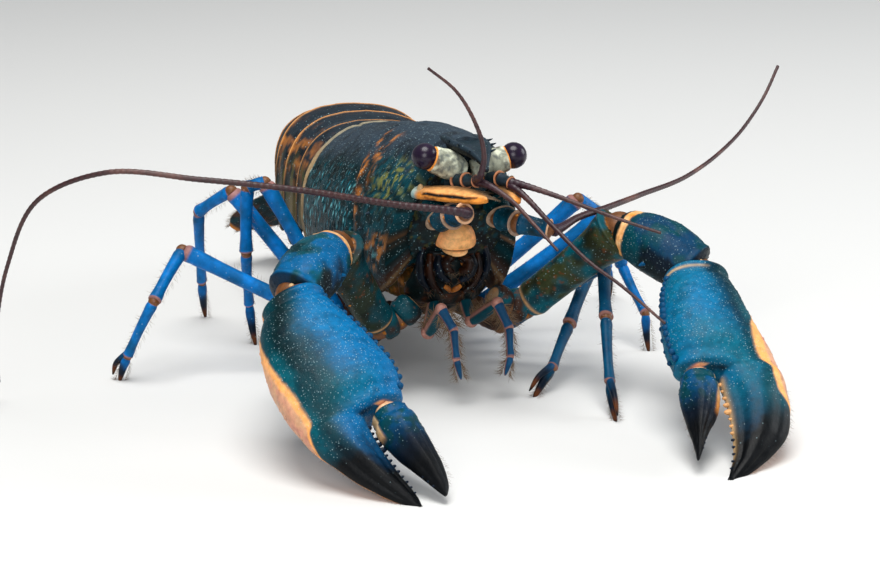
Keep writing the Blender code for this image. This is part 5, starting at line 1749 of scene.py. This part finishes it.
def finger_grooves(u, q, width, first, whole, last):
    """Four grooves along a finger, deepening from first to whole."""
    grooves = sum(beside(q, middle, width) for middle in (0.13, 0.37, 0.63, 0.87))
    return grooves * step(u, first, whole) * step(u, last - 1, last - 4)


def add_hand(side, mark):
    end = PALM[side][-1][0]
    last = FIXED_FINGER[side][-1][0] + 0.2
    places = np.concatenate([np.linspace(-0.1, 2.4, 24)[:-1], np.linspace(2.4, end - 1.2, 90)[:-1],
                             np.linspace(end - 1.2, end + 1.4, 44)[:-1], np.linspace(end + 1.4, last, 84)])
    palm = columns(PALM[side], places)
    finger = columns(FIXED_FINGER[side], places)
    slow = step(places, end - 3.5, end + 1)
    fast = step(places, end - 0.5, end + 0.7)
    outer, inner, half = palm + (finger - palm) * (slow, fast, slow)
    outer = np.maximum(outer, finger[0] * slow)
    neck = column(((-0.1, 0.72), (0.3, 0.86), (0.8, 1), (2.4, 1)), np.minimum(places, 2.4))
    lift = finger_bow(places) * step(places, end - 6, end)
    rings = hand_rings(side, places, outer * neck, inner * neck, half * neck, lift,
                       step(places, end + 1, end + 5), HAND_SIDES)
    u, q = np.meshgrid(places, np.arange(HAND_SIDES) / HAND_SIDES, indexing="ij")
    palm_share = step(u, end + 1.5, end - 0.5) * step(u, 1.5, 3)
    dent = bumps(rings, 2.4, 171, 0.14) + 0.13 * step(grains(rings, 0.95, 173), 0.35, 1) * palm_share
    dent += 0.3 * hill(u, 1.6, 0.45) - 0.3 * hill(u, 2.7, 0.4)
    dent += 0.3 * hill(u, end - 0.4, 0.4) * beside(q, 0.5, 0.2)
    dent -= 0.25 * hill(u, end - 1.7, 0.45) * beside(q, 0.42, 0.15)
    dent -= 0.22 * finger_grooves(u, q, 0.03, end + 1.5, end + 4, last)
    form = Form("palm_" + mark)
    form.add(swollen(rings, dent), lambda *spots: hand_colour(*spots, end, side),
             lambda *spots: hand_grains(*spots, end), places)
    form.piece("claw", "claw", "claw_hand_" + mark)


def hand_colour(at, u, q, end, side):
    """Blue inward, dark teal outward, a pale outer border and a dark finger."""
    cloud = clouds(at, 3.2, 181)
    fine = clouds(at, 1, 183)
    signed = (q + 0.5) % 1.0 - 0.5
    inward = -np.cos(2 * math.pi * q) + 0.25 * (cloud - 0.5)
    if side == RIGHT:
        late, wide = 3, 0.03
        colour = mix(ink.teal * 0.5, "blue", step(inward, -0.3, 0.25))
        dark = hill(inward, -0.5, 0.33) * (1 - 0.5 * step(u, 9, 17))
        bright = hill(inward, 0.3, 0.35) * hill(u, 8, 6)
        limit = 0.015 + 0.09 * step(u, 1.5, 17) - 0.14 * step(u, 20, 25.5)
        marks = ()
    else:
        late, wide = 5, 0.05
        inner = mix("blue", ink.teal * 1.3, 0.3 + 0.6 * cloud)
        colour = mix(ink.teal * 0.5, inner, step(inward, -0.45, 0.1))
        colour = mix(colour, ink.cream * 0.8, hill(u, 2.1, 0.14) * step(inward, -0.4, -0.2))
        dark = hill(inward, -0.45, 0.3) * (1 - 0.8 * step(u, 10, 18))
        bright = hill(inward, 0.1, 0.5) * hill(u, 9, 7)
        limit = -0.01 + 0.17 * step(u, 4, 16) - 0.22 * step(u, 20, 28)
        edge = beside(q, 0.47, 0.035) * step(u, end + 1, end + 2) * step(u, 34, 31)
        marks = (
            (ink.cream * 0.7, 0.8 * edge),
            (ink.teal * 0.9, 0.5 * hill(u, end + 4, 3) * beside(q, 0.2, 0.1)),
        )
    finger = u + 1.5 * (fine - 0.5) - 3.5 * step(inward, -0.7, 0.5) - end - late
    under = step(signed, -0.2, -0.14)
    over_edge = limit + 0.012 * (fine - 0.5) - signed
    border = mix("orange", "cream", 0.2 + 0.25 * fine) * 1.1
    pale = mix(mix("pink", "cream", 0.6 * fine), "rust", 0.5 * patches(at, 0.45, 184, 0.8, 0.9))
    flesh = step(over_edge - wide, -0.006, 0.008) * under * step(u, 8, 12)
    rim = step(hill(u, end, 0.16), 0.5, 0.8) * step(beside(q, 0.5, 0.14), 0.4, 0.6)
    return laid(
        colour,
        (ink.deep * 0.6, 0.9 * dark),
        (mix("blue", "teal", 0.3) * 1.4, 0.7 * bright),
        (ink.teal * 1.2, 0.6 * hill(u, end - 2.5, 2.5) * beside(q, 0.27, 0.07)),
        (ink.teal * 1.1, 0.7 * hill(inward, -0.85, 0.2) * step(u, 6, 12)),
        ("navy", 0.25 * step(fine, 0.55, 0.8)),
        (ink.rust * 0.45, 0.6 * beside(q, 0.75, 0.12)),
        (ink.navy * 1.5, 0.8 * step(u, end, end + 5.0 + late)),
        ("black", 0.85 * hill(u, end + 0.5, 0.5) * beside(q, 0.4, 0.04)),
        ("black", step(finger, -0.5, 3.5)),
        *marks,
        (border, step(over_edge, -0.01, 0.01) * under),
        (pale * 0.85, flesh),
        (mix("pink", "cream", fine) * 0.9, rim),
        (mix("rust", ink.orange * 0.7, fine) * 0.6, 0.9 * step(u, 0.8, 0.5)),
    )


def hand_grains(at, u, q, end):
    """Where the pale grains are: thick on the palm's back, few on the finger."""
    palm = step(u, 1.2, 2) * step(u, end + 7, end + 3)
    off = 1 - np.clip(2 * beside(q, 0.97, 0.08) * step(u, 3, 6), 0, 1)
    return (0.85 * palm * (0.35 + 0.9 * clouds(at, 2.2, 187)) + 0.06) * off


def add_beads(beads, teeth, side):
    sizes = bpy.context.scene.crayfish_sizes
    along, out, up = claw_frame(side)[1:]
    end = PALM[side][-1][0]
    last = FIXED_FINGER[side][-1][0] + 0.2
    chance = np.random.default_rng(9)
    aim = unit(-out + up * 0.35)
    for share in np.linspace(0, 1, sizes.palm_beads):
        place = 2.6 + (end - 4) * share
        outer, inner, half = table(PALM[side], place)
        radius = sizes.bead_radius * (1.0 if side == LEFT else 0.85) * chance.uniform(0.85, 1.12)
        radius = radius * (0.75 + 0.25 * math.sin(math.pi * share))
        at = hand_point(side, place, inner + 0.3, half * 0.3)
        beads.add(at, aim * radius * 1.15, radius, mix("navy", "blue", 0.45))
        # A small pale cap on top of each bead: a painted highlight.
        beads.add(at + aim * radius * 0.92, aim * radius * 0.2, radius * 0.35, ink.pale_teal * 0.5)
        if round(share * (sizes.palm_beads - 1)) % 2:
            lower = at - up * half * 0.45 + along * 0.4 - out * 0.1
            beads.add(lower, aim * radius * 0.7, radius * 0.65, mix("navy", "blue", 0.3))
    for i in range(sizes.finger_teeth):
        place = end + 2.0 + (last - end - 4.4) * i / (sizes.finger_teeth - 1)
        radius = sizes.tooth_radius * (1.3 if i in (3, 4) else 0.9 - 0.035 * i) * chance.uniform(0.75, 1.15)
        at = hand_point(side, place, table(FIXED_FINGER[side], place)[1] + 0.05, finger_bow(place) + 0.25)
        shade = ink.navy * 1.3 if side == RIGHT or i > 7 else mix("orange", "cream", 0.6) * 0.8
        teeth.add(at, -out * radius * 1.2, radius * 0.7, shade)


class CRAYFISH_OT_claw_hands(bpy.types.Operator):
    """Build the palm and fixed finger of both claws, with beads and teeth"""

    bl_idname = "crayfish.claw_hands"
    bl_label = "Claw Hands"

    def execute(self, context):
        beads = Seeds("palm_beads")
        teeth = Seeds("fixed_finger_teeth")
        for side, mark in SIDES:
            add_hand(side, mark)
            add_beads(beads, teeth, side)
        beads.piece("beads", "claw", "claw")
        teeth.piece("beads", "face", "claw")
        return {"FINISHED"}


def add_finger(side, mark, first, last):
    root = first - 0.5
    places = np.concatenate([np.linspace(root, first + 2.5, 36)[:-1], np.linspace(first + 2.5, last, 96)])
    outer, inner, half = columns(CLAW_FINGER[side], places)
    slim = 0.14 * np.sin(np.pi * np.clip((places - first) / (last - first), 0, 1))
    inner = inner + (outer - inner) * slim
    neck = column(((root, 0.55), (first, 0.85), (first + 0.7, 1), (last, 1)), places)
    middle = (outer + inner) / 2
    reach = (outer - inner) / 2 * neck
    rings = hand_rings(side, places, middle + reach, middle - reach, half * neck,
                       finger_lift(places, last), step(places, first + 2, first + 5), FINGER_SIDES)
    u, q = np.meshgrid(places, np.arange(FINGER_SIDES) / FINGER_SIDES, indexing="ij")
    lumps = step(grains(rings, 0.85, 193), 0.35, 1) * step(u, first + 9, first + 4)
    dent = bumps(rings, 1.6, 191, 0.1) + 0.12 * lumps
    dent += 0.25 * hill(u, first + 1, 0.4) - 0.2 * hill(u, first + 2, 0.4)
    dent -= 0.16 * finger_grooves(u, q, 0.035, first + 3, first + 5, last)
    reach, width = (3.5, 0.07) if side == RIGHT else (6, 0.1)

    def paint(at, u, q):
        fine = clouds(at, 1, 195)
        pale = step(beside(q, 0.02, width), 0.5, 0.75) * step(u, reach + 1.5, reach)
        return laid(
            mix(ink.teal * 0.5, ink.blue * 0.55, step(fine, 0.4, 0.7)),
            (mix("navy", "black", step(u, 6, 10)), step(u + fine, 3, 8)),
            (mix("pink", "cream", fine), step(u, 0.8, 0.5)),
            (mix("cream", "orange", step(u, 2, 7)), 0.95 * pale),
        )

    form = Form("moving_finger_" + mark)
    form.add(swollen(rings, dent), paint, lambda at, u, q: 0.4 * step(u, 8, 4), places - first)
    form.piece("claw", "claw", "claw_finger_" + mark)


def add_finger_teeth(teeth, side, first, last):
    sizes = bpy.context.scene.crayfish_sizes
    for i in range(sizes.finger_teeth):
        place = first + 2.2 + (last - first - 4) * i / (sizes.finger_teeth - 1)
        radius = sizes.tooth_radius * (1.2 if i in (2, 3) else 0.85 - 0.03 * i)
        at = hand_point(side, place, table(CLAW_FINGER[side], place)[0] - 0.1, finger_lift(place, last) + 0.2)
        teeth.add(at, claw_frame(side)[2] * radius * 1.3, radius * 0.8, ink.navy * 1.3)


def add_finger_hairs(hairs, side, first, last):
    """Short bristles along the outer edges of both fingers."""
    along, out, up = claw_frame(side)[1:]
    places = np.linspace(first + 3, last - 1, 20)
    edge = hand_point(side, places, table(CLAW_FINGER[side], places)[:, 1], finger_lift(places, last))
    hairs.fringe(edge, -out + along * 1.2 + up * 0.2, 40, 0.7, 197, 0.25)
    places = np.linspace(PALM[side][-1][0] + 2, FIXED_FINGER[side][-1][0] - 1, 20)
    edge = hand_point(side, places, table(FIXED_FINGER[side], places)[:, 0], finger_bow(places))
    hairs.fringe(edge, out + along * 1.4 + up * 0.2, 50, 0.7, 199, 0.25)


class CRAYFISH_OT_claw_fingers(bpy.types.Operator):
    """Build the moving finger of both claws, with its teeth and bristles"""

    bl_idname = "crayfish.claw_fingers"
    bl_label = "Claw Fingers"

    def execute(self, context):
        teeth = Seeds("moving_finger_teeth")
        hairs = Seeds("claw_bristles")
        for side, mark in SIDES:
            first = CLAW_FINGER[side][0][0]
            last = CLAW_FINGER[side][-1][0]
            add_finger(side, mark, first, last)
            add_finger_teeth(teeth, side, first, last)
            add_finger_hairs(hairs, side, first, last)
        teeth.piece("beads", "face", "claw")
        hairs.bristles("claw")
        return {"FINISHED"}


def leg_colours(name):
    """Main colour, second colour and joint band of a leg; the legs that lie in shade get darker ones, a
    painted shade.
    """
    band = mix("pink", "slate", 0.35) * 0.7
    # Painted shade: the legs in shade get darker blues and bands.
    if name in SHADED_LEGS:
        return mix("blue", "teal", 0.4) * 0.6, ink.blue * 0.3, band * 0.8
    return ink.bright, ink.blue * 0.6, band


def add_upper_leg(limbs, name, chain, across):
    main, second, band = leg_colours(name)
    form = Form(name.replace("leg_", "thigh_"))
    hip = banded(ink.rust * 0.6, "deep", band * 0.8, 201, 1.5)
    limbs.article(form, chain[0], chain[1], LEG_THICK[0:2], across, hip, sides=36, rows=50, profile=BARREL)
    limbs.joint(chain[1], LEG_THICK[1] * 0.95, across, band)
    limbs.article(form, chain[1], chain[2], LEG_THICK[1:3], across, banded(main, second, band, 203, 2.2), 26,
                  flatness=0.86, sides=44, rows=80, bow=-0.15, speck=0.12)
    form.piece("leg", "leg", name.replace("leg_", "leg_upper_"))


def add_lower_leg(limbs, name, chain, across):
    main, second, band = leg_colours(name)
    form = Form(name.replace("leg_", "shin_"))
    limbs.joint(chain[0], LEG_THICK[2] * 0.9, across, band)
    extra = len(chain) - len(LEG_THIN)
    for k, start, end, radii in articles(chain, LEG_THIN[:1] * extra + LEG_THIN):
        last = k == len(chain) - 2
        paint = toe_paint(main * 0.6) if last else banded(main, second, band, 205 + k, 1.8)
        limbs.article(form, start, end, radii[:1] * 2 if last else radii, across, paint,
                      40 if last else 26, 0.75, profile=LAST_ARTICLE if last else ARTICLE,
                      flatness=0.84, sides=34, rows=64, speck=0.08, bow=0.12)
        if not last:
            limbs.joint(end, radii[1] * 0.95, across, band)
    if name in PINCER_LEGS:
        add_pincer(form, chain, across)
    form.piece("leg", "leg", name.replace("leg_", "leg_lower_"))


def toe_paint(main):
    """The foot: the leg's blue, going over navy to a rusty black end."""
    def tinted(at, along, around):
        return laid(
            mix(main, "navy", step(along + 0.2 * clouds(at, 1.2, 209), 0.2, 0.6)),
            (ink.rust * 0.6, step(along, 0.6, 0.8)),
            ("black", step(along, 0.85, 0.98)),
        )
    return tinted


def add_pincer(form, chain, across):
    """The second finger of a pincer foot, held just over the floor."""
    before, wrist, tip = chain[-3:]
    along = unit(tip - wrist)
    lift = unit(np.cross(along, np.cross((0, 0, 1), along)))
    end = tip + lift * 1.1 + (0, 0, 0.7)
    stops = (wrist + unit(before - wrist), wrist + lift * 0.4, (wrist + end) / 2 + lift * 0.7, end)
    radius = 0.56 * column(((0, 0.7), (0.15, 0.95), (0.5, 0.8), (0.85, 0.5), (1, 0.2)), np.linspace(0, 1, 44))
    form.add(tube(eased_path(stops, 44), radius, radius, across, 22), toe_paint(ink.blue * 0.4))


class CRAYFISH_OT_legs(bpy.types.Operator):
    """Build the four pairs of walking legs"""

    bl_idname = "crayfish.legs"
    bl_label = "Walking Legs"

    def execute(self, context):
        limbs = Limbs("leg")
        for name, chain in LEG_CHAIN.items():
            side = RIGHT if name.endswith("R") else LEFT
            s, spread = LEG_ROOT[name[4]]
            hip = body(s, side * spread, LEG_ROOT_HEIGHT)
            chain = np.array([hip, *sided(chain, side)])
            add_upper_leg(limbs, name, chain[:3], bend_normal(chain[:4]))
            add_lower_leg(limbs, name, chain[2:], bend_normal([chain[1], chain[2], *chain[2:]]))
        limbs.pieces("leg")
        return {"FINISHED"}


class CRAYFISH_OT_belly(bpy.types.Operator):
    """Build the keel between the legs and the plates of the belly"""

    bl_idname = "crayfish.belly"
    bl_label = "Belly"

    def execute(self, context):
        s = 13.0 + 25.5 * np.linspace(0, 1, 120)[:, None]
        half = 3.1 + 0.8 * np.cos((s - 13.5) * 2 * math.pi / 6)
        roof, low_s, edge = columns(SHELL_LINES, s)
        top = roof + (edge - roof) * 0.83 - GAP * 1.2
        low = LEG_ROOT_HEIGHT - 0.6
        shape = eased(((0.6, 0, 0), (1, -1.4, 0), (0.85, 0.8, 1), (0, 0, 1)), 28)
        x, rise, down = np.concatenate([shape, shape[-2::-1] * (-1, 1, 1)]).T
        rings = body(s, x * half, top * (1 - down) + low * down + rise)
        plates = 0.35 * np.abs(np.sin((s - 13.5) * math.pi / 6)) ** 0.5 * (np.abs(x) < 0.9)

        def paint(at, along, around):
            colour = mix(ink.rust * 0.7, ink.olive * 0.7, clouds(at, 2, 211))
            return mix(colour, ink.orange * 0.7, 0.7 * patches(at, 1, 213, 0.6, 0.8))

        form = Form("belly_keel")
        form.add(swollen(rings, plates - 0.3), paint, 0.1)
        form.piece("face", "belly", "sternum")
        return {"FINISHED"}


def set_up(name, data, place, back):
    """A light or camera in its place, its back this way and its top upward."""
    made = shown(name, data)
    made.location = place
    made.rotation_euler = Vector(back).to_track_quat("Z", "Y").to_euler()
    return made


def add_floor():
    """A plain pale floor that is flat all round the model."""
    material = bpy.data.materials.new("pale_floor")
    material.use_nodes = True
    tree = material.node_tree
    feed(tree, tree.nodes["Principled BSDF"], {"Base Color": (0.7, 0.7, 0.69, 1), "Roughness": 0.8})
    mesh = bpy.data.meshes.new("floor")
    ends = np.array(((-1, -1, 0), (1, -1, 0), (1, 1, 0), (-1, 1, 0))) * FLOOR_REACH
    mesh.from_pydata(ends.tolist(), [], [(0, 1, 2, 3)])
    mesh.materials.append(material)
    shown("floor", mesh)


class CRAYFISH_OT_stage(bpy.types.Operator):
    """Set the pale floor, the soft lights and the camera"""

    bl_idname = "crayfish.stage"
    bl_label = "Stage"

    def execute(self, context):
        add_floor()
        for name, place, target, size, watts, colour in LIGHTS:
            light = bpy.data.lights.new(name, "AREA")
            light.shape = "DISK"
            light.size = size
            light.energy = watts
            light.color = colour
            set_up(name, light, place, np.subtract(place, target))
        world = bpy.data.worlds.new("studio")
        world.use_nodes = True
        feed(world.node_tree, world.node_tree.nodes["Background"], {
            "Color": (0.82, 0.86, 0.9, 1), "Strength": 0.3,
        })
        context.scene.view_settings.view_transform = "Standard"
        context.scene.world = world
        camera = bpy.data.cameras.new("camera")
        camera.lens = CAMERA_LENS
        camera.sensor_width = 36.0
        camera.clip_start = 0.01
        level = math.cos(CAMERA_ELEVATION)
        east = math.sin(CAMERA_AZIMUTH) * level
        back = (east, -math.cos(CAMERA_AZIMUTH) * level, math.sin(CAMERA_ELEVATION))
        context.scene.camera = set_up("camera", camera, (np.array(CAMERA_PLACE) + SHIFT) * MM, back)
        return {"FINISHED"}


OPERATORS = (
    CRAYFISH_OT_carapace, CRAYFISH_OT_abdomen, CRAYFISH_OT_tail_fan, CRAYFISH_OT_head, CRAYFISH_OT_eyes,
    CRAYFISH_OT_scales, CRAYFISH_OT_feelers, CRAYFISH_OT_mouth_legs, CRAYFISH_OT_claw_arms,
    CRAYFISH_OT_claw_hands, CRAYFISH_OT_claw_fingers, CRAYFISH_OT_legs, CRAYFISH_OT_belly, CRAYFISH_OT_stage,
)


class CRAYFISH_PT_panel(bpy.types.Panel):
    """Colours, sizes and the operators in their order"""

    bl_idname = "CRAYFISH_PT_panel"
    bl_label = "Crayfish"
    bl_space_type = "VIEW_3D"
    bl_region_type = "UI"
    bl_category = "Crayfish"

    def draw(self, context):
        for group in (context.scene.crayfish_colours, context.scene.crayfish_sizes):
            box = self.layout.box()
            for name in group.__annotations__:
                box.prop(group, name)
        for kind in OPERATORS:
            self.layout.operator(kind.bl_idname)


CLASSES = (CrayfishColours, CrayfishSizes) + OPERATORS + (CRAYFISH_PT_panel,)


def register():
    for kind in CLASSES:
        bpy.utils.register_class(kind)
    bpy.types.Scene.crayfish_colours = PointerProperty(type=CrayfishColours)
    bpy.types.Scene.crayfish_sizes = PointerProperty(type=CrayfishSizes)


def unregister():
    del bpy.types.Scene.crayfish_sizes
    del bpy.types.Scene.crayfish_colours
    for kind in reversed(CLASSES):
        bpy.utils.unregister_class(kind)


def main():
    register()
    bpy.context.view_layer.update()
    for kind in OPERATORS:
        group, name = kind.bl_idname.split(".")
        getattr(getattr(bpy.ops, group), name)()
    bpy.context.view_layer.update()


if __name__ == "__main__":
    main()
